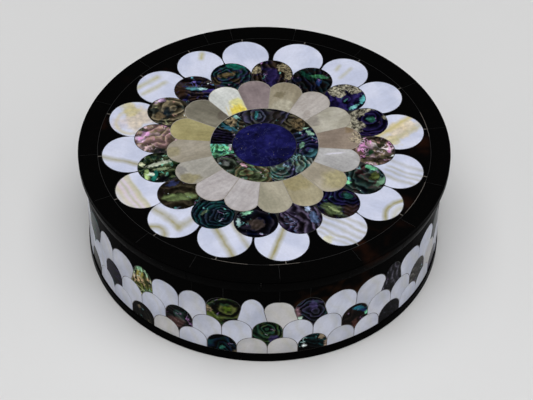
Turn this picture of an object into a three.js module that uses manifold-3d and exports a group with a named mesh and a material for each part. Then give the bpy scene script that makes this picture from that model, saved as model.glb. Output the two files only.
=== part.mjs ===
import * as THREE from 'three';
import { mergeVertices } from 'three/addons/utils/BufferGeometryUtils.js';
import Module from 'manifold-3d';

const wasm = await Module();
wasm.setup();

// Round box of white marble with a lift-off lid, faced all over with shell.
// Millimetres, +Z up, origin at the middle of the underside.
// Angles start at the front, which is -Y, and grow towards +X.

// The flower on the lid, from the middle outwards
const PETALS = 16;
const PETAL_PHASE = THREE.MathUtils.degToRad(7.5);
const CENTER_RADIUS = 10.9;
const ABALONE_RING_WIDTH = 7.3;
const INNER_PETAL_SIDE = 11;
const INNER_PETAL_CROWN = 3.8;
const INNER_TIP_TO_DISC = 4;
const DISC_TO_OUTER_PETAL = 9;
const OUTER_TIP_MARGIN = 1.5;
const BORDER_WIDTH = 6.7;

// The lid, whose side draws in towards its lower edge, and the step below it
const LID_HEIGHT = 7.1;
const LID_TAPER = 1.3;
const LID_OVERHANG = 0.8;
const STEP_DEPTH = 2.5;
const STEP_CLEARANCE = 0.8;

// The marble of the body
const MARBLE_WALL = 5.15;
const FLOOR_THICKNESS = 6;

// The facing: its thickness, the glue behind it, and the joint between two pieces
const FACING = 1.6;
const GLUE = 0.15;
const JOINT = 0.3;

// The side of the body, from the table upwards
const BASE_RING_HEIGHT = 3.7;
const BASE_RING_PROUD = 0.4;
const LOWEST_TILE_HEIGHT = 7.6;
const MIDDLE_ROW_RISE = 8.05;
const UPPER_ROW_RISE = 9.5;
const TOP_BAND_HEIGHT = 5.65;
const TILES_PER_ROW = 38;
const TILE_PHASE = THREE.MathUtils.degToRad(-12.6);
const ARCH_RISE = 5;

// How far round each joint of the upper row is laid off its place, from the fourth one left of the
// tile at TILE_PHASE. The row goes through these again until it closes.
const UPPER_JOINT_STRAYS = [0.2, 1.5, -0.3, 0.1, -0.2, 1.8, -0.8, -1.6, -1.2, 0.3, 2.1, -0.8];
const FIRST_STRAY_JOINT = -4;

// Petals and tiles are laid in whole numbers
const PETAL_COUNT = Math.round(PETALS);
const TILE_COUNT = Math.round(TILES_PER_ROW);

// Steps of the round outlines
const CIRCLE_STEPS = 4 * PETAL_COUNT;
const COLUMNS_PER_TILE = 4;
const CENTER_STEPS = 24;
const DISC_OUTER_STEPS = 9;
const DISC_INNER_STEPS = 4;
const OUTER_PETAL_STEPS = 8;
const INNER_PETAL_STEPS = 5;

// Radii and heights that follow from these sizes
const HALF_PITCH = Math.PI / PETAL_COUNT;
const HALF_TILE = Math.PI / TILE_COUNT;
const ABALONE_RING_RADIUS = CENTER_RADIUS + JOINT + ABALONE_RING_WIDTH;
const INNER_PETAL_SHOULDER = ABALONE_RING_RADIUS + INNER_PETAL_SIDE;
const INNER_PETAL_TIP = INNER_PETAL_SHOULDER + INNER_PETAL_CROWN;
const DISC_CENTER = INNER_PETAL_TIP + INNER_TIP_TO_DISC;
const OUTER_PETAL_CENTER = DISC_CENTER + DISC_TO_OUTER_PETAL;
const OUTER_PETAL_TIP = OUTER_PETAL_CENTER * (1 + Math.sin(HALF_PITCH));
const BORDER_INNER_RADIUS = OUTER_PETAL_TIP + OUTER_TIP_MARGIN;
const LID_RADIUS = BORDER_INNER_RADIUS + BORDER_WIDTH;
const BODY_RADIUS = LID_RADIUS - LID_TAPER - LID_OVERHANG;
const MARBLE_RADIUS = BODY_RADIUS - FACING - GLUE;
const INSIDE_RADIUS = MARBLE_RADIUS - MARBLE_WALL;
const LOWEST_TIP = BASE_RING_HEIGHT + LOWEST_TILE_HEIGHT;
const MIDDLE_TIP = LOWEST_TIP + MIDDLE_ROW_RISE;
const UPPER_TIP = MIDDLE_TIP + UPPER_ROW_RISE;
const BODY_HEIGHT = UPPER_TIP + TOP_BAND_HEIGHT;
const TOP = BODY_HEIGHT + LID_HEIGHT;
const INLAY_BOTTOM = TOP - FACING;

const MATERIALS = {
  marble: { color: 0xe9e6df, roughness: 0.45, metalness: 0 },
  dark_shell: { color: 0x0b0807, roughness: 0.2, metalness: 0 },
  white_pearl: { color: 0xd9d3e2, roughness: 0.25, metalness: 0 },
  grey_pearl: { color: 0xa79d8b, roughness: 0.3, metalness: 0 },
  abalone: { color: 0x27424a, roughness: 0.22, metalness: 0.1 },
  lapis: { color: 0x171173, roughness: 0.3, metalness: 0 },
};

const box = new THREE.Group();

function addMesh(name, geometry, materialName, angle = 0) {
  const mesh = new THREE.Mesh(geometry, new THREE.MeshStandardMaterial(MATERIALS[materialName]));
  mesh.name = name;
  mesh.rotation.z = angle;
  box.add(mesh);
}

// A merged copy of a closed surface, with its faces turned outwards.
function closed(geometry) {
  const bare = geometry.clone();
  bare.deleteAttribute('normal');
  bare.deleteAttribute('uv');
  const merged = mergeVertices(bare);
  const corner = [new THREE.Vector3(), new THREE.Vector3(), new THREE.Vector3()];
  const index = merged.index.array;
  const kept = [];
  let volume = 0;
  for (let face = 0; face < index.length; face += 3) {
    const [a, b, c] = index.slice(face, face + 3);
    if (a !== b && b !== c && c !== a) {
      corner.forEach((point, i) => point.fromBufferAttribute(merged.attributes.position, [a, b, c][i]));
      volume += corner[0].dot(corner[1].clone().cross(corner[2]));
      kept.push([a, b, c]);
    }
  }
  const order = volume < 0 ? kept.map(([a, b, c]) => [a, c, b]) : kept;
  merged.setIndex(order.flat());
  return merged;
}

function toSolid(geometry) {
  const shell = closed(geometry);
  return new wasm.Manifold(new wasm.Mesh({
    numProp: 3,
    vertProperties: new Float32Array(shell.attributes.position.array),
    triVerts: new Uint32Array(shell.index.array),
  }));
}

function toGeometry(solid) {
  const mesh = solid.getMesh();
  const geometry = new THREE.BufferGeometry();
  geometry.setAttribute('position', new THREE.BufferAttribute(mesh.vertProperties, mesh.numProp));
  geometry.setIndex(new THREE.BufferAttribute(mesh.triVerts, 1));
  return geometry;
}

// A profile of [radius, height] corners turned about Z. Its phase is the angle of the first corner.
function turned(profile, steps, phase) {
  const points = profile.map(([radius, height]) => new THREE.Vector2(radius, height));
  return new THREE.LatheGeometry(points, steps, phase, 2 * Math.PI).rotateX(Math.PI / 2);
}

function turnedRing(inner, outer, bottom, top, steps = CIRCLE_STEPS, phase = PETAL_PHASE) {
  const profile = [[inner, bottom], [outer, bottom], [outer, top], [inner, top], [inner, bottom]];
  return turned(profile, steps, phase);
}

// An outline given as [outwards, sideways] points, raised from bottom to top.
function plate(outline, bottom, top, angle = 0) {
  const shape = new THREE.Shape(outline.map(([out, side]) => new THREE.Vector2(side, -out)));
  const geometry = new THREE.ExtrudeGeometry(shape, { depth: top - bottom, bevelEnabled: false });
  return geometry.translate(0, 0, bottom).rotateZ(angle);
}

function arc(center, radius, from, to, steps) {
  const points = [];
  for (let i = 0; i <= steps; i += 1) {
    const turn = from + ((to - from) * i) / steps;
    points.push([center + radius * Math.cos(turn), radius * Math.sin(turn)]);
  }
  return points;
}

function strayOfJoint(joint) {
  const turned = (joint - FIRST_STRAY_JOINT + TILE_COUNT) % TILE_COUNT;
  return UPPER_JOINT_STRAYS[turned % UPPER_JOINT_STRAYS.length] / BODY_RADIUS;
}

// Where a point of the upper row's arches really lies, between the joints beside it.
function strayed(angle) {
  const place = (angle - TILE_PHASE) / (2 * HALF_TILE) + 0.5;
  const joint = Math.floor(place);
  return angle + THREE.MathUtils.lerp(strayOfJoint(joint), strayOfJoint(joint + 1), place - joint);
}

// The edge of a row of round arches: each turns evenly from a valley to its tip and back.
// Even steps of the angle give even steps along the arch, as points of angle and height.
function archEdge(tip, phase, lay = (angle) => angle) {
  return (angle, lift) => {
    const turns = (angle - phase) / (2 * HALF_TILE);
    const tile = Math.round(turns);
    const turn = Math.PI * (turns - tile);
    const round = phase + HALF_TILE * (2 * tile + Math.sin(turn));
    return [lay(round), tip - ARCH_RISE * (1 - Math.cos(turn)) + lift];
  };
}

function levelEdge(height) {
  return (angle) => [angle, height];
}

// A band of facing around the body between two edges, which starts a joint above the lower one.
// Its hidden inner side needs only every other column, so the ones between close up.
function sideBand(lowerEdge, upperEdge) {
  const steps = TILE_COUNT * COLUMNS_PER_TILE;
  const inner = BODY_RADIUS - FACING;
  const profile = [[inner, 0], [BODY_RADIUS, 0], [BODY_RADIUS, 1], [inner, 1], [inner, 0]];
  const geometry = turned(profile, steps, TILE_PHASE);
  const position = geometry.attributes.position;
  for (let i = 0; i < position.count; i += 1) {
    const column = Math.floor(i / profile.length) % steps;
    const [radius, side] = profile[i % profile.length];
    const used = radius === inner ? column - (column % 2) : column;
    const angle = TILE_PHASE + (used * 2 * Math.PI) / steps;
    const [laid, height] = side === 1 ? upperEdge(angle, 0) : lowerEdge(angle, JOINT);
    position.setXYZ(i, radius * Math.sin(laid), -radius * Math.cos(laid), height);
  }
  return closed(geometry);
}

// The flower's outlines. Each can be grown all round, to cut the joint out of its neighbour.
function innerPetalOutline(grow) {
  const width = INNER_PETAL_SHOULDER * Math.sin(HALF_PITCH) - JOINT / 2;
  const shoulder = INNER_PETAL_SHOULDER * Math.cos(HALF_PITCH);
  const rise = INNER_PETAL_TIP - shoulder;
  const radius = (width * width + rise * rise) / (2 * rise);
  const center = INNER_PETAL_TIP - radius;
  const bend = Math.atan2(width, shoulder - center);
  const foot = ABALONE_RING_RADIUS + JOINT - grow;
  const footWidth = foot * Math.sin(HALF_PITCH) - JOINT / 2 + grow;
  return [
    [foot, 0],
    [foot * Math.cos(HALF_PITCH), footWidth],
    ...arc(center, radius + grow, bend, -bend, INNER_PETAL_STEPS),
    [foot * Math.cos(HALF_PITCH), -footWidth],
  ];
}

// A disc has corners where it meets its neighbours, so that the joint there stays closed.
function discOutline(grow) {
  const radius = DISC_CENTER * Math.sin(HALF_PITCH) - JOINT / 2 + grow;
  const meeting = Math.PI / 2 + HALF_PITCH;
  const outer = arc(DISC_CENTER, radius, -meeting, meeting, DISC_OUTER_STEPS);
  const inner = arc(DISC_CENTER, radius, meeting, 2 * Math.PI - meeting, DISC_INNER_STEPS);
  return [...outer, ...inner.slice(1, -1)];
}

// The point of a disc, which runs down into the valley between two inner petals.
function throatOutline() {
  const width = DISC_CENTER * Math.sin(HALF_PITCH) / 2;
  const base = DISC_CENTER - width;
  return [[INNER_PETAL_SHOULDER, 0], [base, -width], [base, width]];
}

function outerPetalOutline(grow) {
  const radius = OUTER_PETAL_CENTER * Math.sin(HALF_PITCH) - JOINT / 2 + grow;
  const tangent = Math.PI / 2 + HALF_PITCH;
  const point = DISC_CENTER * Math.cos(HALF_PITCH) - grow;
  return [[point, 0], ...arc(OUTER_PETAL_CENTER, radius, tangent, -tangent, OUTER_PETAL_STEPS)];
}

const inlayPlate = (outline, angle) => plate(outline, INLAY_BOTTOM, TOP, angle);
const cutterPlate = (outline, angle) => plate(outline, INLAY_BOTTOM - FACING, TOP + FACING, angle);

function cut(geometry, cutters) {
  let solid = toSolid(geometry);
  for (const cutter of cutters) {
    solid = solid.subtract(toSolid(cutter));
  }
  return toGeometry(solid);
}

// The marble: a cup with a flat floor, and a lid with a step that sits inside its rim
const cupProfile = [
  [0, 0],
  [MARBLE_RADIUS, 0],
  [MARBLE_RADIUS, BODY_HEIGHT],
  [INSIDE_RADIUS, BODY_HEIGHT],
  [INSIDE_RADIUS, FLOOR_THICKNESS],
  [0, FLOOR_THICKNESS],
];
addMesh('box_body', turned(cupProfile, CIRCLE_STEPS, PETAL_PHASE), 'marble');

const lidBandInner = LID_RADIUS - LID_TAPER - FACING;
const slabProfile = [
  [0, BODY_HEIGHT - STEP_DEPTH],
  [INSIDE_RADIUS - STEP_CLEARANCE, BODY_HEIGHT - STEP_DEPTH],
  [INSIDE_RADIUS - STEP_CLEARANCE, BODY_HEIGHT],
  [lidBandInner - GLUE, BODY_HEIGHT],
  [lidBandInner - GLUE, INLAY_BOTTOM - GLUE],
  [0, INLAY_BOTTOM - GLUE],
];
addMesh('lid_slab', turned(slabProfile, CIRCLE_STEPS, PETAL_PHASE), 'marble');

// The side of the body: a base ring, rows of arched tiles, and a dark band under the lid
const baseRing = turnedRing(MARBLE_RADIUS + GLUE, BODY_RADIUS + BASE_RING_PROUD, 0, BASE_RING_HEIGHT);
addMesh('base_ring', baseRing, 'dark_shell');

const lowerArches = archEdge(LOWEST_TIP, TILE_PHASE);
const middleArches = archEdge(MIDDLE_TIP, TILE_PHASE + HALF_TILE);
const upperArches = archEdge(UPPER_TIP, TILE_PHASE, strayed);
addMesh('tile_row_lower', sideBand(levelEdge(BASE_RING_HEIGHT + JOINT), lowerArches), 'white_pearl');
addMesh('tile_row_middle', sideBand(lowerArches, middleArches), 'white_pearl');
addMesh('tile_row_upper', sideBand(middleArches, upperArches), 'white_pearl');
addMesh('side_top_band', sideBand(upperArches, levelEdge(BODY_HEIGHT - JOINT / 2)), 'dark_shell');

// The side of the lid, which draws in a little towards its lower edge
const lidBandBottom = BODY_HEIGHT + JOINT / 2;
const lidBandTop = INLAY_BOTTOM - JOINT;
const lidBandProfile = [
  [lidBandInner, lidBandBottom],
  [LID_RADIUS - LID_TAPER, lidBandBottom],
  [LID_RADIUS, lidBandTop],
  [lidBandInner, lidBandTop],
  [lidBandInner, lidBandBottom],
];
addMesh('lid_side_band', turned(lidBandProfile, CIRCLE_STEPS, PETAL_PHASE), 'dark_shell');
addMesh('lid_border_ring', turnedRing(BORDER_INNER_RADIUS, LID_RADIUS, INLAY_BOTTOM, TOP), 'dark_shell');

// The middle of the flower
const center = new THREE.CylinderGeometry(CENTER_RADIUS, CENTER_RADIUS, FACING, CENTER_STEPS);
center.rotateX(Math.PI / 2).translate(0, 0, TOP - FACING / 2);
addMesh('lid_center_disc', center, 'lapis');
const abaloneRing = turnedRing(CENTER_RADIUS + JOINT, ABALONE_RING_RADIUS, INLAY_BOTTOM, TOP, 2 * PETAL_COUNT);
addMesh('lid_abalone_ring', abaloneRing, 'abalone');

// The three rounds of petals. Each round is cut to fit the one inside it.
const innerPetal = inlayPlate(innerPetalOutline(0));
const innerCutters = [-HALF_PITCH, HALF_PITCH].map((angle) => cutterPlate(innerPetalOutline(JOINT), angle));
const wholeDisc = toSolid(inlayPlate(discOutline(0))).add(toSolid(inlayPlate(throatOutline())));
const disc = cut(toGeometry(wholeDisc), innerCutters);
const discCutters = [-HALF_PITCH, HALF_PITCH].map((angle) => cutterPlate(discOutline(JOINT), angle));
const outerPetal = cut(inlayPlate(outerPetalOutline(0)), discCutters);

const petalAngles = Array.from({ length: PETAL_COUNT }, (_, i) => PETAL_PHASE + 2 * HALF_PITCH * i);
petalAngles.forEach((angle, i) => {
  const number = String(i + 1).padStart(2, '0');
  addMesh(`inner_petal_${number}`, innerPetal, 'grey_pearl', angle);
  addMesh(`abalone_disc_${number}`, disc, 'abalone', angle + HALF_PITCH);
  addMesh(`outer_petal_${number}`, outerPetal, 'white_pearl', angle);
});

// The dark ground between the outer petals and the border ring
const petalMeeting = OUTER_PETAL_CENTER * Math.cos(HALF_PITCH);
const groundCutters = petalAngles.map((angle) => cutterPlate(outerPetalOutline(JOINT), angle));
const groundPlate = turnedRing(petalMeeting, BORDER_INNER_RADIUS - JOINT, INLAY_BOTTOM, TOP);
addMesh('lid_ground', cut(groundPlate, groundCutters), 'dark_shell');

export default box;
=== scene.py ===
"""Round inlaid marble jewelry box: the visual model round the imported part.

Shapes are drawn in millimetres and patterns in centimetres, and a finished mesh is in metres.
Angles are in degrees round the box: 0 is the front (-Y), and they grow towards +X.
On a petal or disc, x points right and y points outwards, as seen from above with its tip up.
"""

import functools
import logging
import math
from collections.abc import Iterable, Sequence
from dataclasses import dataclass, field
from enum import Enum

import bmesh
import bpy
from mathutils import Euler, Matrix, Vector


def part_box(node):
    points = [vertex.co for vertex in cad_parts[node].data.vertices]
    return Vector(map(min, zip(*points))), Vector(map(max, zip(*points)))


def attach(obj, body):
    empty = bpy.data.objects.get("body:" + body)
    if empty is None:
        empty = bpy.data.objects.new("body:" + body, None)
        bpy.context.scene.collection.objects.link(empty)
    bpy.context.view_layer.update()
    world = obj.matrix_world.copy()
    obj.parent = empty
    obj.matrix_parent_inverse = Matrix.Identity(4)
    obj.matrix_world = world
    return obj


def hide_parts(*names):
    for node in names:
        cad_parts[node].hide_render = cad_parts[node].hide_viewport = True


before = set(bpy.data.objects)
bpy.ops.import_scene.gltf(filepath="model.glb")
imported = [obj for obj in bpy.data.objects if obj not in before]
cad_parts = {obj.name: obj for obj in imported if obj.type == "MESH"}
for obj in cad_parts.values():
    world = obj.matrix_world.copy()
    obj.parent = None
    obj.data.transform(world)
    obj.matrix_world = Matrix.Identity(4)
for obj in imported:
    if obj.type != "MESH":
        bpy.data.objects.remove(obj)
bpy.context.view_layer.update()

LOG = logging.getLogger("jewelry_box")
Colour = tuple[int, int, int]
Socket = bpy.types.NodeSocket

MM = 0.001
PETALS = 16
PITCH = 360 / PETALS
FIRST_PETAL = 7.5
TOP = 41.6
INLAY_BOTTOM = 40.0
LID_RADIUS = 63.53
BORDER_INNER = 56.83
BODY_RADIUS = 61.43
BODY_TOP = 34.5
FACING = 1.6
JOINT = 0.24
EDGE = 0.05
JOINT_UNDER_LID = 0.05
SHARP = math.radians(32)
SMOOTH = math.radians(25)
BODY = "root"
WHITE = (1.0, 1.0, 1.0, 1.0)


class Slot(Enum):
    """The names of the material slots."""

    MARBLE = "marble"
    DARK_SHELL = "dark_shell"
    WHITE_PEARL = "white_pearl"
    GREY_PEARL = "grey_pearl"
    ABALONE = "abalone"
    LAPIS = "lapis"


def outward(angle: float, radius: float, height: float = 0.0) -> Vector:
    """The point at that angle, radius and height."""
    turn = math.radians(angle)
    return Vector((radius * math.sin(turn), -radius * math.cos(turn), height))


def linear(colour: Colour) -> tuple[float, float, float, float]:
    """The colour as Blender's nodes take it.

    Args:
        colour: red, green and blue from 0 to 255, as a screen shows them.

    Returns:
        Linear red, green, blue and an alpha of 1.
    """
    shares = [c / 255 for c in colour]
    parts = [s / 12.92 if s <= 0.04045 else ((s + 0.055) / 1.055) ** 2.4 for s in shares]
    return (parts[0], parts[1], parts[2], 1.0)


def meeting(a: Vector, reach_a: float, b: Vector, reach_b: float) -> Vector:
    """Where two circles meet, at the point that lies farther from the box's axis.

    Args:
        a: centre of the first circle.
        reach_a: its radius.
        b: centre of the second circle.
        reach_b: its radius.

    Returns:
        The meeting point, or the point between them where they don't touch.
    """
    gap = b - a
    along = (reach_a**2 - reach_b**2 + gap.length_squared) / (2 * gap.length)
    across = math.sqrt(max(reach_a**2 - along**2, 0.0))
    ahead = gap.normalized()
    side = Vector((-ahead.y, ahead.x, 0.0))
    points = [a + ahead * along + side * across * sign for sign in (1, -1)]
    return max(points, key=lambda p: p.length)


class Graph:
    """Adds nodes to one material and links them."""

    def __init__(self, name: str, roughness: float, ior: float = 1.5) -> None:
        self.material = bpy.data.materials.new(name)
        self.material.use_nodes = True
        self.tree = self.material.node_tree
        self.shader = self.tree.nodes["Principled BSDF"]
        self.shader.inputs["Roughness"].default_value = roughness
        self.shader.inputs["IOR"].default_value = ior

    def feed(self, socket: Socket, value: object) -> None:
        """Links a socket, or sets its value."""
        if isinstance(value, bpy.types.NodeSocket):
            self.tree.links.new(value, socket)
        else:
            socket.default_value = value

    def add(self, kind: str, output: str = "", settings: dict | None = None, **inputs: object) -> Socket:
        """Adds a node.

        Args:
            kind: the node's type, without ShaderNode.
            output: the output to return, or "" for the first.
            settings: the node's own settings.
            **inputs: values or sockets for its inputs, with _ for a space.

        Returns:
            The output socket.
        """
        node = self.tree.nodes.new("ShaderNode" + kind)
        for key, value in (settings or {}).items():
            setattr(node, key, value)
        for key, value in inputs.items():
            self.feed(node.inputs[key.replace("_", " ")], value)
        return node.outputs[output] if output else node.outputs[0]

    def math(self, operation: str, *values: object) -> Socket:
        """A Math node."""
        node = self.tree.nodes.new("ShaderNodeMath")
        node.operation = operation
        for socket, value in zip(node.inputs, values):
            self.feed(socket, value)
        return node.outputs[0]

    def vector(self, operation: str, a: object, b: object = (0.0, 0.0, 0.0)) -> Socket:
        """A Vector Math node, and its number where the operation gives one."""
        node = self.tree.nodes.new("ShaderNodeVectorMath")
        node.operation = operation
        self.feed(node.inputs[0], a)
        self.feed(node.inputs[1], b)
        return node.outputs["Value" if operation in ("LENGTH", "DOT_PRODUCT", "DISTANCE") else "Vector"]

    def scaled(self, a: Socket, size: float) -> Socket:
        """A vector times a number."""
        return self.vector("MULTIPLY", a, (size, size, size))

    def blend(self, share: object, below: object, above: object, kind: str = "MIX") -> Socket:
        """Mixes two colours."""
        node = self.tree.nodes.new("ShaderNodeMix")
        node.data_type = "RGBA"
        node.blend_type = kind
        self.feed(node.inputs[0], share)
        self.feed(node.inputs[6], below)
        self.feed(node.inputs[7], above)
        return node.outputs[2]

    def ramp(self, share: object, stops: Sequence[tuple]) -> bpy.types.Node:
        """A Color Ramp node.

        Args:
            share: what it reads.
            stops: (place from 0 to 1, colour, alpha) in rising order.

        Returns:
            The node, with its Color and Alpha outputs.
        """
        node = self.tree.nodes.new("ShaderNodeValToRGB")
        elements = node.color_ramp.elements
        while len(elements) < len(stops):
            elements.new(0.5)
        for element, (place, colour, alpha) in zip(elements, stops):
            element.position = min(max(place, 0.0), 1.0)
            element.color = (*linear(colour)[:3], alpha)
        self.feed(node.inputs[0], share)
        return node

    def rise(self, value: object, low: float, high: float) -> Socket:
        """Rises softly from 0 at low to 1 at high."""
        settings = {"interpolation_type": "SMOOTHSTEP"}
        return self.add("MapRange", "", settings, Value=value, From_Min=low, From_Max=high)

    def product(self, a: object, b: object) -> Socket:
        """One number times another."""
        return self.math("MULTIPLY", a, b)

    def body_space(self) -> Socket:
        """The object's own coordinates, in centimetres."""
        return self.scaled(self.add("TexCoord", "Object"), 100.0)

    def laid(self, at: Socket, place: Sequence[float], turn: float, size: Sequence[float]) -> Socket:
        """Coordinates from a place, turned to the left by degrees, in units of a size."""
        settings = {"vector_type": "TEXTURE"}
        around = (0.0, 0.0, math.radians(turn))
        return self.add("Mapping", "", settings, Vector=at, Location=place, Rotation=around, Scale=size)

    def noise(
        self, at: Socket, scale: float, seed: float, detail: float = 2.0, output: str = "Fac"
    ) -> Socket:
        """A Noise texture of its own seed, where scale is per centimetre."""
        settings = {"noise_dimensions": "4D"}
        return self.add("TexNoise", output, settings, Vector=at, W=seed, Scale=scale, Detail=detail)

    def ridge(self, at: Socket, scale: float, seed: float, detail: float) -> Socket:
        """How far a noise is from its middle: 0 along thin wandering lines."""
        return self.math("ABSOLUTE", self.math("SUBTRACT", self.noise(at, scale, seed, detail), 0.5))

    def push(self, at: Socket, scale: float, amount: float, seed: float) -> Socket:
        """How far a noise pushes each point about, in centimetres."""
        noise = self.noise(at, scale, seed, 1.5, "Color")
        return self.scaled(self.vector("SUBTRACT", noise, (0.5, 0.5, 0.5)), 2 * amount)

    def warped(self, at: Socket, scale: float, amount: float, seed: float) -> Socket:
        """Coordinates pushed about by a noise."""
        return self.vector("ADD", at, self.push(at, scale, amount, seed))

    def times(self, colour: object, light: object) -> Socket:
        """A colour times a grey or a colour."""
        return self.blend(1.0, colour, light, "MULTIPLY")

    def mottle(self, colour: Socket, at: Socket, scale: float, depth: float, seed: float) -> Socket:
        """Breaks a colour up with fine grain.

        Args:
            colour: what is broken up.
            at: coordinates.
            scale: grains per centimetre, roughly.
            depth: how dark the darkest grains get, from 0.
            seed: draws other grains.

        Returns:
            The colour with its grain.
        """
        grain = self.rise(self.noise(at, scale, seed, 4.0), 0.3, 0.7)
        return self.times(colour, self.math("MULTIPLY_ADD", grain, 1.25 * depth, 1.0 - depth))

    def bump(self, height: Socket, strength: float, depth_mm: float) -> None:
        """Gives the surface a fine relief."""
        normal = self.add("Bump", "", None, Height=height, Strength=strength, Distance=depth_mm * MM)
        self.feed(self.shader.inputs["Normal"], normal)

    def finish(self, colour: Socket) -> bpy.types.Material:
        """Links the colour and returns the material."""
        self.feed(self.shader.inputs["Base Color"], colour)
        return self.material


@dataclass(frozen=True)
class Place:
    """Where a flat piece lies, so that its pattern can be centred and turned to it.

    Args:
        angle: degrees round the box.
        radius: millimetres from the box's axis.
    """

    angle: float
    radius: float

    def coordinates(self, graph: Graph) -> tuple[Socket, Socket]:
        """Centimetres from the piece's middle, with y outwards, for its shapes and for its noises."""
        middle = outward(self.angle, self.radius, TOP) * MM
        flat = graph.laid(graph.add("TexCoord", "Object"), middle, self.angle + 180, (0.01, 0.01, 0.01))
        return flat, flat


@dataclass(frozen=True)
class OwnMap:
    """A tile's own UV map, in centimetres from the tile's middle, and its own draw of noise."""

    name: str = "tile"
    draw: str = "tile_seed"

    def coordinates(self, graph: Graph) -> tuple[Socket, Socket]:
        """Centimetres from the tile's middle, with y upwards, for its shapes and for its noises."""
        flat = graph.add("UVMap", "", {"uv_map": self.name})
        seed = graph.add("Attribute", "Fac", {"attribute_name": self.draw})
        depth = graph.add("CombineXYZ", "", None, Z=graph.product(seed, 3.7))
        return flat, graph.vector("ADD", flat, depth)


@dataclass(frozen=True)
class Patch:
    """A soft-edged patch of colour.

    Args:
        x: centimetres to the right of the piece's middle.
        y: centimetres outwards from it.
        radius: centimetres.
        colour: its colour.
        share: how much of it covers what lies below.
        grain: how broken its edge is, from 0.
        crust: True for the rough outer side of the shell, which lies over the lines.
        tall: how many times as long as wide it is.
        turn: degrees that its length is turned from pointing outwards, to the left.
    """

    x: float
    y: float
    radius: float
    colour: Colour
    share: float = 0.9
    grain: float = 0.5
    crust: bool = False
    tall: float = 1.0
    turn: float = 0.0

    def over(self, graph: Graph, flat: Socket, own: Socket, colour: Socket, seed: float) -> Socket:
        """Lays the patch over a colour."""
        size = (self.radius, self.radius * self.tall, 1.0)
        own_at = graph.laid(flat, (self.x, self.y, 0.0), self.turn, size)
        away = graph.vector("LENGTH", own_at)
        rough = graph.math("SUBTRACT", graph.noise(own, 0.95 / self.radius, seed + 31.7 + self.x, 3.0), 0.5)
        edge = graph.math("MULTIPLY_ADD", rough, 5.0 * self.grain, away)
        if not self.crust:
            share = graph.product(graph.rise(edge, 1.25, 0.6), self.share)
            cloud = graph.noise(own, 6.0, seed + 12.9 + self.y, 3.0)
            tone = graph.times(linear(self.colour), graph.math("MULTIPLY_ADD", cloud, 1.6, 0.2))
            return graph.blend(share, colour, tone)
        grains = graph.noise(graph.warped(own, 6.0, 0.1, seed + 5.1), 11.0, seed + 3.3, 3.0)
        cover = graph.product(graph.rise(edge, 1.15, 0.85), self.share)
        dull, light = ([min(round(c * share), 255) for c in self.colour] for share in (0.6, 1.28))
        steps = ((0.36, (30, 26, 20)), (0.45, dull), (0.55, self.colour), (0.68, light))
        tones = graph.ramp(grains, [(step, tuple(tone), 1.0) for step, tone in steps])
        return graph.blend(cover, colour, tones.outputs["Color"])


@dataclass(frozen=True)
class Streaks:
    """Growth lines that follow each other across a piece, or ring a point.

    Args:
        stops: (centimetres across, colour, share) in rising order.
        axis: the direction in which they follow each other, degrees from x.
        centre: the point that they ring, or None for straight ones.
        reach: how far they go along, in centimetres.
        wander: how far they stray, in centimetres.
    """

    stops: tuple[tuple[float, Colour, float], ...]
    axis: float = 0.0
    centre: tuple[float, float] | None = None
    reach: tuple[float, float] = (-2.0, 2.0)
    wander: float = 0.07

    def over(self, graph: Graph, flat: Socket, own: Socket, colour: Socket, seed: float) -> Socket:
        """Lays the streaks over a colour."""
        bent = graph.vector("ADD", flat, graph.push(own, 1.6, self.wander, seed + 7.1))
        turn = math.radians(self.axis)
        across = (math.cos(turn), math.sin(turn), 0.0)
        along = (-math.sin(turn), math.cos(turn), 0.0)
        if self.centre:
            away = graph.vector("DISTANCE", bent, (*self.centre, 0.0))
            share = graph.product(away, 0.5)
            places = [(stop / 2, tone, alpha) for stop, tone, alpha in self.stops]
        else:
            away = graph.vector("DOT_PRODUCT", bent, across)
            share = graph.math("MULTIPLY_ADD", away, 0.5, 0.5)
            places = [((stop + 1) / 2, tone, alpha) for stop, tone, alpha in self.stops]
        lines = graph.ramp(share, places)
        far = graph.vector("DOT_PRODUCT", bent, along)
        start = graph.rise(far, self.reach[0] - 0.12, self.reach[0] + 0.12)
        stop = graph.rise(far, self.reach[1] + 0.12, self.reach[1] - 0.12)
        mottle = graph.math("MULTIPLY_ADD", graph.noise(own, 4.0, seed + 1.9), 0.9, 0.55)
        cover = graph.product(lines.outputs["Alpha"], graph.product(start, stop))
        full = graph.math("MINIMUM", graph.product(cover, mottle), 1.0)
        return graph.blend(full, colour, lines.outputs["Color"])


def stripes(tone: Colour, *places: tuple[float, float, float]) -> tuple[tuple[float, Colour, float], ...]:
    """Stops for soft stripes of one colour.

    Args:
        tone: their colour.
        *places: (centimetres across, half width, share) of each, in rising order.

    Returns:
        The stops, three to a stripe.
    """
    stops = []
    for middle, half, share in places:
        stops += [(middle - half, tone, 0.0), (middle, tone, share), (middle + half, tone, 0.0)]
    return tuple(stops)


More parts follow.
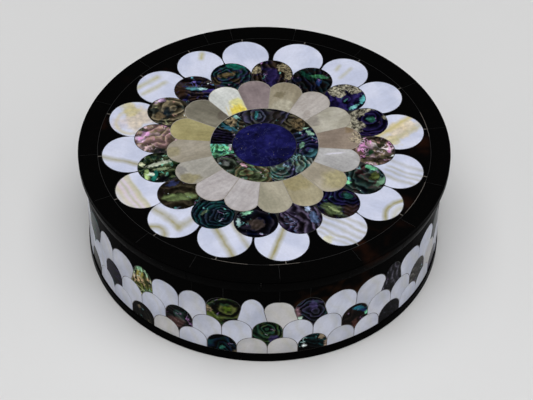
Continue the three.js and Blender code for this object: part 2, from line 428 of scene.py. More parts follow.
@dataclass(frozen=True)
class Pearl:
    """Mother of pearl: a pale ground with clouds, growth lines, patches and a silky grain.

    Args:
        name: the material's name.
        place: where the piece lies.
        base: its darker ground.
        cloud: its lighter ground.
        lines: streaks of growth lines.
        patches: patches of colour.
        grain: degrees that the silk is turned from running outwards.
        silk: how dark the silk's dark lines are, from 0.
        speckle: how dark its finest grain is, from 0.
        warm: the tone of the tiles that are yellowish, or None.
        seed: draws another piece of shell.
    """

    name: str
    place: Place | OwnMap
    base: Colour = (190, 196, 218)
    cloud: Colour = (207, 211, 230)
    lines: tuple[Streaks, ...] = ()
    patches: tuple[Patch, ...] = ()
    grain: float = 0.0
    silk: float = 0.05
    speckle: float = 0.05
    warm: Colour | None = None
    seed: float = 0.0

    @functools.cache
    def material(self) -> bpy.types.Material:
        """The finish as a material."""
        graph = Graph(self.name, roughness=0.24, ior=1.2)
        flat, own = self.place.coordinates(graph)
        share = graph.rise(graph.noise(own, 1.1, self.seed, 2.0), 0.35, 0.66)
        colour = graph.blend(share, linear(self.base), linear(self.cloud))
        if self.warm:
            warmth = graph.add("Attribute", "Fac", {"attribute_name": "tile_warmth"})
            colour = graph.blend(warmth, colour, graph.times(colour, linear(self.warm)))
        for patch in self.patches:
            colour = patch.over(graph, flat, own, colour, self.seed)
        for lines in self.lines:
            colour = lines.over(graph, flat, own, colour, self.seed)
        bent = graph.warped(own, 1.3, 0.12, self.seed + 9)
        fine = graph.laid(bent, (0.0, 0.0, 0.0), -self.grain, (0.12, 0.9, 1.0))
        thread = graph.rise(graph.noise(fine, 1.0, self.seed + 4, 2.0), 0.3, 0.7)
        colour = graph.times(colour, graph.math("MULTIPLY_ADD", thread, self.silk, 1.0 - 0.6 * self.silk))
        colour = graph.mottle(colour, own, 11.0, self.speckle, self.seed + 2)
        graph.bump(thread, 0.08, 0.02)
        return graph.finish(colour)


class Growth(Enum):
    """How an abalone piece's dark lines run."""

    EYES = "RINGS"
    LAYERS = "BANDS"


@dataclass(frozen=True)
class Abalone:
    """Abalone shell: layers that ring an eye or follow each other, each dark on one side.

    Args:
        name: the material's name.
        place: where the piece lies.
        palette: the colours that drift into each other.
        growth: how the layers run.
        axis: the direction in which straight layers follow each other, degrees from x.
        centre: the eye that the layers ring, in centimetres.
        spacing: centimetres from layer to layer.
        glints: the colours of the painted glints, bright flashes of the shell's sheen painted into its
            colour.
        shine: how much of the piece has painted glints, from 0 to 1.
        depth: how dark the layers' dark sides are, from 0 to 1.
        gloom: how dark the broad shadows are, from 0 to 1.
        patches: patches of colour or crust.
        seed: draws another piece of shell.
    """

    name: str
    place: Place | OwnMap
    palette: tuple[Colour, ...]
    growth: Growth = Growth.EYES
    axis: float = 0.0
    centre: tuple[float, float] = (0.0, 0.0)
    spacing: float = 0.2
    glints: tuple[Colour, Colour] = ((120, 205, 200), (190, 140, 200))
    shine: float = 0.3
    depth: float = 0.85
    gloom: float = 0.45
    patches: tuple[Patch, ...] = ()
    seed: float = 0.0

    def hues(self, graph: Graph, bent: Socket) -> Socket:
        """The palette's colours, drifting into each other."""
        drift = graph.noise(bent, 2.4, self.seed + 11, 3.0)
        last = len(self.palette) - 1
        stops = [(0.38 + 0.24 * i / last, tone, 1.0) for i, tone in enumerate(self.palette)]
        return graph.ramp(drift, stops).outputs["Color"]

    def layers(self, graph: Graph, flat: Socket, own: Socket) -> Socket:
        """How light each point is for where it lies in its layer."""
        if self.growth is Growth.EYES:
            away = graph.vector("DISTANCE", flat, (*self.centre, 0.0))
        else:
            turn = math.radians(self.axis)
            away = graph.vector("DOT_PRODUCT", flat, (math.cos(turn), math.sin(turn), 0.0))
        wobble = graph.noise(own, 1.6, self.seed + 2, 1.0)
        count = graph.math("MULTIPLY_ADD", wobble, 3.0, graph.math("DIVIDE", away, self.spacing))
        place = graph.math("FRACT", graph.math("ADD", count, 20.0))
        steps = ((0.0, 34), (0.2, 44), (0.42, 135), (0.62, 220), (0.8, 255), (0.92, 135), (1.0, 34))
        return graph.ramp(place, [(step, (tone, tone, tone), 1.0) for step, tone in steps]).outputs["Color"]

    def sparkle(self, graph: Graph, own: Socket, bent: Socket, light: Socket, colour: Socket) -> Socket:
        """Lays the glints, the thin bright wisps and the sparks over a colour."""
        # painted glints: bright flashes in the glint colours where the layers are light
        hue = graph.rise(graph.noise(own, 2.5, self.seed + 23), 0.42, 0.58)
        glint = graph.blend(hue, linear(self.glints[0]), linear(self.glints[1]))
        low = 0.74 - 0.24 * self.shine
        bright = graph.rise(graph.noise(bent, 3.0, self.seed + 17, 1.0), low, low + 0.05)
        colour = graph.blend(graph.product(bright, light), colour, glint)
        # painted glints along thin bright wisps
        ridge = graph.ridge(bent, 3.6, self.seed + 19, 3.0)
        start = 0.62 - 0.25 * self.shine
        where = graph.rise(graph.noise(own, 1.7, self.seed + 27), start, start + 0.12)
        thin = graph.product(graph.rise(ridge, 0.03, 0.0), where)
        colour = graph.blend(graph.product(thin, 0.7), colour, glint)
        # painted sparks: near-white highlight specks
        start = 0.74 - 0.1 * self.shine
        spark = graph.rise(graph.noise(bent, 6.0, self.seed + 29, 2.0), start, start + 0.05)
        return graph.blend(graph.product(spark, 0.85), colour, linear((222, 232, 232)))

    @functools.cache
    def material(self) -> bpy.types.Material:
        """The finish as a material."""
        graph = Graph(self.name, roughness=0.16, ior=1.08)
        flat, own = self.place.coordinates(graph)
        broad_push = graph.push(own, 1.7, 0.17, self.seed)
        push = graph.vector("ADD", broad_push, graph.push(own, 5.5, 0.07, self.seed + 5))
        bent = graph.vector("ADD", own, push)
        colour = self.hues(graph, bent)
        light = self.layers(graph, graph.vector("ADD", flat, push), bent)
        cover = graph.rise(graph.noise(own, 1.6, self.seed + 13), 0.25, 0.45)
        colour = graph.times(colour, graph.blend(graph.product(cover, self.depth), WHITE, light))
        broad = graph.rise(graph.noise(own, 1.9, self.seed + 41, 2.0), 0.36, 0.6)
        shadow = graph.math("MULTIPLY_ADD", broad, self.gloom, 1.0 - self.gloom)
        colour = graph.times(colour, shadow)
        for patch in (p for p in self.patches if not p.crust):
            colour = patch.over(graph, flat, own, colour, self.seed)
        colour = graph.times(colour, graph.blend(0.55, WHITE, light))
        # painted highlights: glints, wisps and sparks laid into the colour
        colour = self.sparkle(graph, own, bent, light, colour)
        for patch in (p for p in self.patches if p.crust):
            colour = patch.over(graph, flat, own, colour, self.seed)
        colour = graph.mottle(colour, own, 9.0, 0.3, self.seed + 3)
        graph.bump(light, 0.15, 0.02)
        return graph.finish(colour)


@dataclass(frozen=True)
class DarkShell:
    """Near-black shell, polished, that lets some brown through."""

    name: str
    amber: float = 0.0
    tone: Colour = (46, 24, 14)

    @functools.cache
    def material(self) -> bpy.types.Material:
        """The finish as a material."""
        graph = Graph(self.name, roughness=0.18, ior=1.06)
        graph.feed(graph.shader.inputs["Specular IOR Level"], 0.1)
        at = graph.body_space()
        bent = graph.warped(at, 0.8, 0.5, 3.0)
        cloud = graph.noise(bent, 0.7, 9.0 + self.amber, 3.0)
        low = 0.74 - 0.4 * self.amber
        share = graph.product(graph.rise(cloud, low, low + 0.22), 0.15 + 0.85 * self.amber)
        colour = graph.blend(share, linear((5, 5, 5)), linear(self.tone))
        fine = graph.noise(at, 9.0, 2.0, 4.0)
        fleck = graph.product(graph.rise(fine, 0.55, 0.8), 0.04)
        colour = graph.blend(fleck, colour, linear((60, 44, 34)))
        graph.bump(fine, 0.06, 0.02)
        return graph.finish(colour)


@dataclass(frozen=True)
class Lapis:
    """Deep blue stone with fine paler veins and a few bright specks."""

    name: str = "lapis_blue"

    @functools.cache
    def material(self) -> bpy.types.Material:
        """The finish as a material."""
        graph = Graph(self.name, roughness=0.18, ior=1.25)
        at = graph.body_space()
        bent = graph.warped(at, 2.0, 0.2, 4.0)
        cloud = graph.noise(bent, 2.5, 1.0, 4.0)
        stops = [(0.3, (5, 5, 28), 1.0), (0.5, (15, 15, 62), 1.0), (0.68, (32, 32, 96), 1.0)]
        colour = graph.ramp(cloud, stops).outputs["Color"]
        ridge = graph.ridge(bent, 3.2, 8.0, 5.0)
        vein = graph.product(graph.rise(ridge, 0.014, 0.0), 0.3)
        colour = graph.blend(vein, colour, linear((70, 74, 128)))
        speck = graph.rise(graph.noise(at, 22.0, 6.0, 1.0), 0.74, 0.78)
        colour = graph.blend(graph.product(speck, 0.7), colour, linear((170, 160, 120)))
        return graph.finish(colour)


@dataclass(frozen=True)
class Marble:
    """White marble with soft grey veins, honed."""

    name: str = "white_marble"

    @functools.cache
    def material(self) -> bpy.types.Material:
        """The finish as a material."""
        graph = Graph(self.name, roughness=0.35)
        at = graph.body_space()
        bent = graph.warped(at, 0.35, 0.9, 2.0)
        ridge = graph.ridge(bent, 0.3, 5.0, 6.0)
        vein = graph.product(graph.rise(ridge, 0.06, 0.0), 0.45)
        cloud = graph.blend(graph.noise(bent, 0.4, 1.0), linear((226, 224, 220)), linear((242, 241, 238)))
        colour = graph.blend(vein, cloud, linear((150, 152, 158)))
        crystal = graph.noise(at, 30.0, 3.0, 2.0)
        colour = graph.blend(graph.product(crystal, 0.06), colour, linear((180, 180, 182)))
        graph.bump(crystal, 0.1, 0.03)
        return graph.finish(colour)


@dataclass(frozen=True)
class Filler:
    """The setting compound in the joints."""

    name: str
    tone: Colour

    @functools.cache
    def material(self) -> bpy.types.Material:
        """The finish as a material."""
        graph = Graph(self.name, roughness=0.5)
        at = graph.body_space()
        grain = graph.noise(at, 18.0, 1.0, 3.0)
        colour = graph.times(linear(self.tone), graph.math("MULTIPLY_ADD", grain, 0.6, 0.6))
        graph.bump(grain, 0.2, 0.03)
        return graph.finish(colour)


Finish = Pearl | Abalone | DarkShell | Lapis | Marble | Filler


def at_flat(x: float, y: float) -> Vector:
    """A point of flat work."""
    return Vector((x, y, 0.0))


def verts_of(made: dict, key: str = "geom") -> list[bmesh.types.BMVert]:
    """The vertices among what an operator made."""
    return [g for g in made[key] if isinstance(g, bmesh.types.BMVert)]


def spin(
    mesh: bmesh.types.BMesh,
    geometry: list,
    turn: float,
    steps: int,
    centre: Vector | None = None,
    **more: bool,
) -> dict:
    """Spins geometry about an upright axis.

    Args:
        mesh: what it is part of.
        geometry: its vertices and edges.
        turn: how far, in radians.
        steps: how many edges the turn has.
        centre: where the axis stands, or None for the box's own.
        **more: other settings of the operator.

    Returns:
        What the operator made.
    """
    middle = (centre.x, centre.y, 0.0) if centre else (0.0, 0.0, 0.0)
    return bmesh.ops.spin(
        mesh, geom=geometry, cent=middle, axis=(0.0, 0.0, 1.0), angle=turn, steps=steps, **more
    )


def bevel(mesh: bmesh.types.BMesh, edges: list[bmesh.types.BMEdge], width: float) -> None:
    """Cuts edges back to one narrow face each."""
    bmesh.ops.bevel(
        mesh,
        geom=edges,
        offset=width,
        segments=1,
        profile=0.5,
        affect="EDGES",
        clamp_overlap=True,
        material=-1,
    )


def section(inner: float, outer: float, low: float, high: float) -> tuple[tuple[float, float], ...]:
    """The corners of a ring's rectangular section."""
    return ((inner, low), (outer, low), (outer, high), (inner, high))


class Outline:
    """A flat closed outline, drawn by one vertex that is drawn along and spun."""

    def __init__(self, start: Vector) -> None:
        self.mesh = bmesh.new()
        self.tip = self.mesh.verts.new((start.x, start.y, 0.0))

    def line(self, end: Vector) -> None:
        """Draws a straight line to a point."""
        made = bmesh.ops.extrude_vert_indiv(self.mesh, verts=[self.tip])
        self.tip = made["verts"][0]
        bmesh.ops.translate(self.mesh, verts=[self.tip], vec=Vector((end.x, end.y, 0.0)) - self.tip.co)

    def arc(self, end: Vector, centre: Vector, steps: int, left: bool = True) -> None:
        """Draws an arc to a point.

        Args:
            end: where it ends.
            centre: what it turns about.
            steps: how many edges it has.
            left: True to turn left, as an angle grows.
        """
        a = self.tip.co - centre
        b = Vector((end.x, end.y, 0.0)) - centre
        turn = (math.atan2(b.y, b.x) - math.atan2(a.y, a.x)) % math.tau
        around = turn if left else turn - math.tau
        self.tip = verts_of(spin(self.mesh, [self.tip], around, steps, centre), "geom_last")[0]

    def plate(self, bottom: float, top: float, edge: float = EDGE) -> bmesh.types.BMesh:
        """Closes the outline, gives it its thickness and rounds its upper edge.

        Args:
            bottom: height of its underside.
            top: height of its face.
            edge: width of the rounding.

        Returns:
            The solid.
        """
        mesh = self.mesh
        bmesh.ops.remove_doubles(mesh, verts=mesh.verts[:], dist=0.03)
        bmesh.ops.contextual_create(mesh, geom=mesh.edges[:])
        bmesh.ops.translate(mesh, verts=mesh.verts[:], vec=(0.0, 0.0, top))
        made = bmesh.ops.extrude_face_region(mesh, geom=mesh.faces[:])
        bmesh.ops.translate(mesh, verts=verts_of(made), vec=(0.0, 0.0, bottom - top))
        bmesh.ops.recalc_face_normals(mesh, faces=mesh.faces[:])
        if edge:
            rim = [e for e in mesh.edges if all(v.co.z > top - 1e-4 for v in e.verts)]
            bevel(mesh, rim, edge)
        return mesh


def swept(
    profile: Sequence[tuple[float, float]], start: float, end: float, edge: float = EDGE
) -> bmesh.types.BMesh:
    """A length of ring.

    Args:
        profile: its section's corners, (radius, height).
        start: angle of its first end.
        end: angle of its last end.
        edge: width of the rounding on its corners.

    Returns:
        The solid.
    """
    mesh = bmesh.new()
    corners = [mesh.verts.new(outward(start, radius, height)) for radius, height in profile]
    sides = [mesh.edges.new((a, b)) for a, b in zip(corners, corners[1:] + corners[:1])]
    turn = end - start
    made = spin(mesh, corners + sides, math.radians(turn), max(2, round(turn / 2.0)))
    last = [g for g in made["geom_last"] if isinstance(g, bmesh.types.BMEdge)]
    bmesh.ops.contextual_create(mesh, geom=sides)
    bmesh.ops.contextual_create(mesh, geom=last)
    bmesh.ops.recalc_face_normals(mesh, faces=mesh.faces[:])
    bevel(mesh, [e for e in mesh.edges if e.calc_face_angle(0.0) > SHARP], edge)
    return mesh


def turned(
    profile: Sequence[tuple[float, float]], steps: int = 128, closed: bool = False
) -> bmesh.types.BMesh:
    """A solid of revolution.

    Args:
        profile: (radius, height), from the axis at the bottom to the axis at the top, or all round a ring.
        steps: how many edges a full turn has.
        closed: True for a ring.

    Returns:
        The solid.
    """
    mesh = bmesh.new()
    points = [mesh.verts.new(outward(0.0, radius, height)) for radius, height in profile]
    sides = [mesh.edges.new(pair) for pair in zip(points, points[1:])]
    if closed:
        sides.append(mesh.edges.new((points[-1], points[0])))
    spin(mesh, points + sides, math.tau, steps, use_merge=True)
    bmesh.ops.remove_doubles(mesh, verts=mesh.verts[:], dist=1e-3)
    bmesh.ops.recalc_face_normals(mesh, faces=mesh.faces[:])
    return mesh


def shade(mesh: bmesh.types.BMesh) -> None:
    """Smooths the light across faces that meet at a small angle, and keeps real corners crisp."""
    for face in mesh.faces:
        face.smooth = True
    for edge in mesh.edges:
        edge.smooth = edge.calc_face_angle(math.pi) < SMOOTH


def join(whole: bmesh.types.BMesh, part: bmesh.types.BMesh, finish: int = 0) -> None:
    """Adds a solid to another mesh, all in one of its finishes, and frees it."""
    for face in part.faces:
        face.material_index = finish
    held = bpy.data.meshes.new("part")
    part.to_mesh(held)
    part.free()
    whole.from_mesh(held)
    bpy.data.meshes.remove(held)


def lay_lengths(
    profile: Sequence[tuple[float, float]],
    joints: Sequence[float],
    gap: float,
    edge: float,
    amber: dict[int, float],
    name: str,
) -> tuple[bmesh.types.BMesh, list["Finish"]]:
    """Lays a dark ring from short lengths, some of which let brown through.

    Args:
        profile: the ring's section, (radius, height).
        joints: the joints' angles, in rising order.
        gap: degrees that each length stays short of a joint.
        edge: width of the rounding on its corners.
        amber: how brown single lengths are, by number.
        name: what the brown finishes are called.

    Returns:
        The lengths as one mesh, and its finishes.
    """
    whole = bmesh.new()
    finishes: list[Finish] = [DarkShell("dark_shell")]
    for index, (start, end) in enumerate(zip(joints, (*joints[1:], joints[0] + 360))):
        brown = amber.get(index, 0.0)
        if brown:
            finishes.append(DarkShell(f"{name}_{index + 1:02d}", brown))
        join(whole, swept(profile, start + gap, end - gap, edge), len(finishes) - 1 if brown else 0)
    return whole, finishes


def make_piece(
    name: str,
    mesh: bmesh.types.BMesh,
    finishes: Iterable[Finish],
    node: str | None = None,
) -> bpy.types.Object:
    """Turns a solid in millimetres into a finished piece of the box.

    Args:
        name: the piece's name.
        mesh: its solid, which is freed.
        finishes: its finishes, in the order of its faces' indexes.
        node: the CAD node that it stands for.

    Returns:
        The object.
    """
    bmesh.ops.scale(mesh, vec=(MM, MM, MM), verts=mesh.verts[:])
    data = bpy.data.meshes.new(name)
    mesh.to_mesh(data)
    mesh.free()
    for finish in finishes:
        data.materials.append(finish.material())
    piece = bpy.data.objects.new(name, data)
    bpy.context.scene.collection.objects.link(piece)
    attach(piece, BODY)
    if node:
        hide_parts(node)
    LOG.info("%s: %d faces", name, len(data.polygons))
    return piece


OLIVE: Colour = (152, 146, 104)
SAGE: Colour = (178, 174, 136)
GOLD: Colour = (196, 184, 132)
BEIGE: Colour = (206, 192, 166)
BLUSH: Colour = (214, 190, 196)

OUTER_ANGLES = (
    7.5, 32.9, 53.7, 74.6, 99.0, 122.3, 143.2, 165.4,
    -171.3, -150.6, -128.7, -105.2, -83.0, -60.6, -38.8, -15.6,
)  # fmt: skip


def outer_patterns() -> list[dict]:
    """What sets each white petal apart, from the front one on, towards +X."""
    slanting = stripes(
        OLIVE, (-0.44, 0.13, 0.45), (-0.18, 0.11, 0.6), (0.08, 0.14, 0.5), (0.38, 0.12, 0.6), (0.6, 0.1, 0.4)
    )
    upright = stripes(OLIVE, (-0.36, 0.13, 0.4), (-0.08, 0.1, 0.55), (0.13, 0.1, 0.5), (0.4, 0.13, 0.5))
    tip_rings = stripes(SAGE, (0.5, 0.2, 0.6)) + stripes(OLIVE, (0.8, 0.15, 1.0))
    crosswise = (
        (0.0, BEIGE, 0.0), (0.1, SAGE, 0.75), (0.22, GOLD, 0.6), (0.32, BLUSH, 0.55), (0.42, SAGE, 0.75),
        (0.52, BLUSH, 0.55), (0.64, GOLD, 0.6), (0.8, BEIGE, 0.4),
    )  # fmt: skip
    return [
        {"lines": (Streaks(stripes(OLIVE, (0.11, 0.17, 1.0)), axis=-25, wander=0.05),)},
        {"lines": (Streaks(slanting, axis=25, wander=0.13),),
         "patches": (Patch(0.72, 0.2, 0.2, (206, 202, 150), 0.6),)},
        {"lines": (Streaks(tip_rings, centre=(-0.04, 1.22)),)},
        {"lines": (Streaks(upright, axis=-8, reach=(-0.45, 2.0), wander=0.12),)},
        {"lines": (Streaks(stripes(GOLD, (-0.29, 0.18, 1.0)) + stripes(SAGE, (0.24, 0.2, 0.6)), axis=33),),
         "patches": (Patch(-0.3, 0.4, 0.4, (214, 200, 174), 0.8),
         Patch(0.05, -0.05, 0.45, (212, 196, 168), 0.8), Patch(0.45, -0.3, 0.3, (202, 190, 150), 0.8))},
        {},
        {"lines": (Streaks(stripes(SAGE, (-0.34, 0.13, 0.7)), axis=14, reach=(0.05, 0.4)),
         Streaks(stripes(SAGE, (0.02, 0.12, 0.6)), axis=-3, reach=(-0.3, 0.45)))},
        {},
        {},
        {"lines": (Streaks(stripes(SAGE, (-0.05, 0.16, 1.0)), axis=-35, reach=(0.36, 0.8)),)},
        {"lines": (Streaks(stripes(SAGE, (0.1, 0.16, 0.8), (0.5, 0.18, 0.8)), axis=79, reach=(-0.3, 0.8)),)},
        {"lines": (Streaks(stripes(GOLD, (0.62, 0.12, 0.6)), centre=(-0.15, -0.05), reach=(-0.2, 0.6)),),
         "patches": (Patch(0.1, -0.1, 0.6, (202, 188, 168), 0.85),
         Patch(-0.4, 0.4, 0.3, (198, 188, 196), 0.5), Patch(0.45, 0.3, 0.35, (190, 180, 132), 0.8))},
        {"lines": (Streaks(stripes(OLIVE, (-0.36, 0.16, 0.8)), axis=-22),)},
        {"lines": (Streaks(crosswise, axis=90, wander=0.1),)},
        {"lines": (Streaks(stripes(OLIVE, (0.36, 0.2, 0.9)), centre=(0.05, 0.98)),
         Streaks(stripes(OLIVE, (0.12, 0.26, 0.8)), axis=84, reach=(-0.9, 0.55), wander=0.12),
         Streaks(stripes(OLIVE, (-0.42, 0.24, 0.7)), axis=-8, reach=(-0.5, 0.3), wander=0.1))},
        {"lines": (Streaks(stripes(OLIVE, (-0.53, 0.15, 0.7), (0.08, 0.22, 0.9)), axis=41, wander=0.05),)},
    ]  # fmt: skip


def inner_patterns() -> list[dict]:
    """What sets each grey petal apart, from the front one on, towards +X."""
    yellow = (
        Patch(0.22, -0.3, 0.28, (218, 212, 128), 0.8, 0.2), Patch(0.1, -0.7, 0.36, (222, 202, 66), 0.9, 0.2),
    )  # fmt: skip
    return [
        {"base": (148, 144, 126), "cloud": (170, 164, 146)},
        {"base": (150, 142, 116), "cloud": (170, 162, 136),
         "patches": (Patch(0.0, -0.5, 0.45, (140, 130, 88), 0.6),)},
        {"base": (152, 144, 128), "cloud": (172, 164, 148),
         "patches": (Patch(-0.1, 0.35, 0.5, (164, 156, 116), 0.75, 0.3),)},
        {"base": (160, 159, 159), "cloud": (184, 183, 184),
         # painted glint: the pale lilac stripe stands for a streak of sheen on the shell
         "lines": (Streaks(stripes((214, 212, 226), (-0.27, 0.06, 0.9)), axis=24, reach=(-0.4, 0.25)),)},
        {"base": (130, 117, 106), "cloud": (152, 138, 124),
         "patches": (Patch(0.0, 0.66, 0.25, (176, 164, 140), 0.7, 0.6, crust=True),
         Patch(-0.5, 0.4, 0.2, (120, 100, 66), 0.6))},
        {"base": (160, 156, 142), "cloud": (182, 178, 166),
         "patches": (Patch(-0.25, -0.55, 0.3, (124, 116, 112), 0.6),)},
        {"base": (164, 157, 152), "cloud": (182, 176, 172),
         "patches": (Patch(0.2, -0.5, 0.2, (136, 128, 122), 0.5),)},
        {"base": (136, 127, 108), "cloud": (158, 150, 130),
         "patches": (Patch(-0.15, 0.05, 0.22, (98, 90, 66), 0.6),
         Patch(0.0, -0.5, 0.35, (176, 172, 156), 0.6))},
        {"base": (118, 106, 108), "cloud": (142, 129, 130)},
        {"base": (196, 199, 196), "cloud": (220, 222, 219), "patches": yellow,
         "lines": (Streaks(stripes((204, 178, 56), (-0.14, 0.04, 0.5), (0.0, 0.05, 0.6), (0.14, 0.04, 0.5),
         (0.3, 0.05, 0.6)), axis=-14, reach=(-1.0, -0.3), wander=0.04),)},
        {"base": (108, 104, 92), "cloud": (134, 130, 116),
         "patches": (Patch(0.3, -0.6, 0.25, (74, 64, 58), 0.5),)},
        {"base": (148, 140, 98), "cloud": (168, 160, 116)},
        {"base": (146, 139, 124), "cloud": (168, 161, 148),
         "patches": (Patch(0.0, 0.6, 0.3, (138, 130, 88), 0.5),)},
        {"base": (150, 147, 139), "cloud": (168, 165, 157),
         "patches": (Patch(-0.3, 0.4, 0.35, (134, 126, 84), 0.7), Patch(0.25, 0.5, 0.2, (96, 94, 96), 0.5))},
        {"base": (166, 160, 160), "cloud": (186, 181, 182)},
        {"base": (168, 162, 162), "cloud": (188, 184, 186)},
    ]  # fmt: skip


INDIGO: Colour = (24, 20, 64)
NAVY: Colour = (16, 22, 48)
TEAL: Colour = (26, 88, 94)
SEA: Colour = (62, 136, 120)
MOSS: Colour = (78, 98, 60)
UMBER: Colour = (60, 44, 34)
TAN: Colour = (140, 124, 96)
CRUST: Colour = (156, 152, 134)
SOOT: Colour = (24, 22, 22)


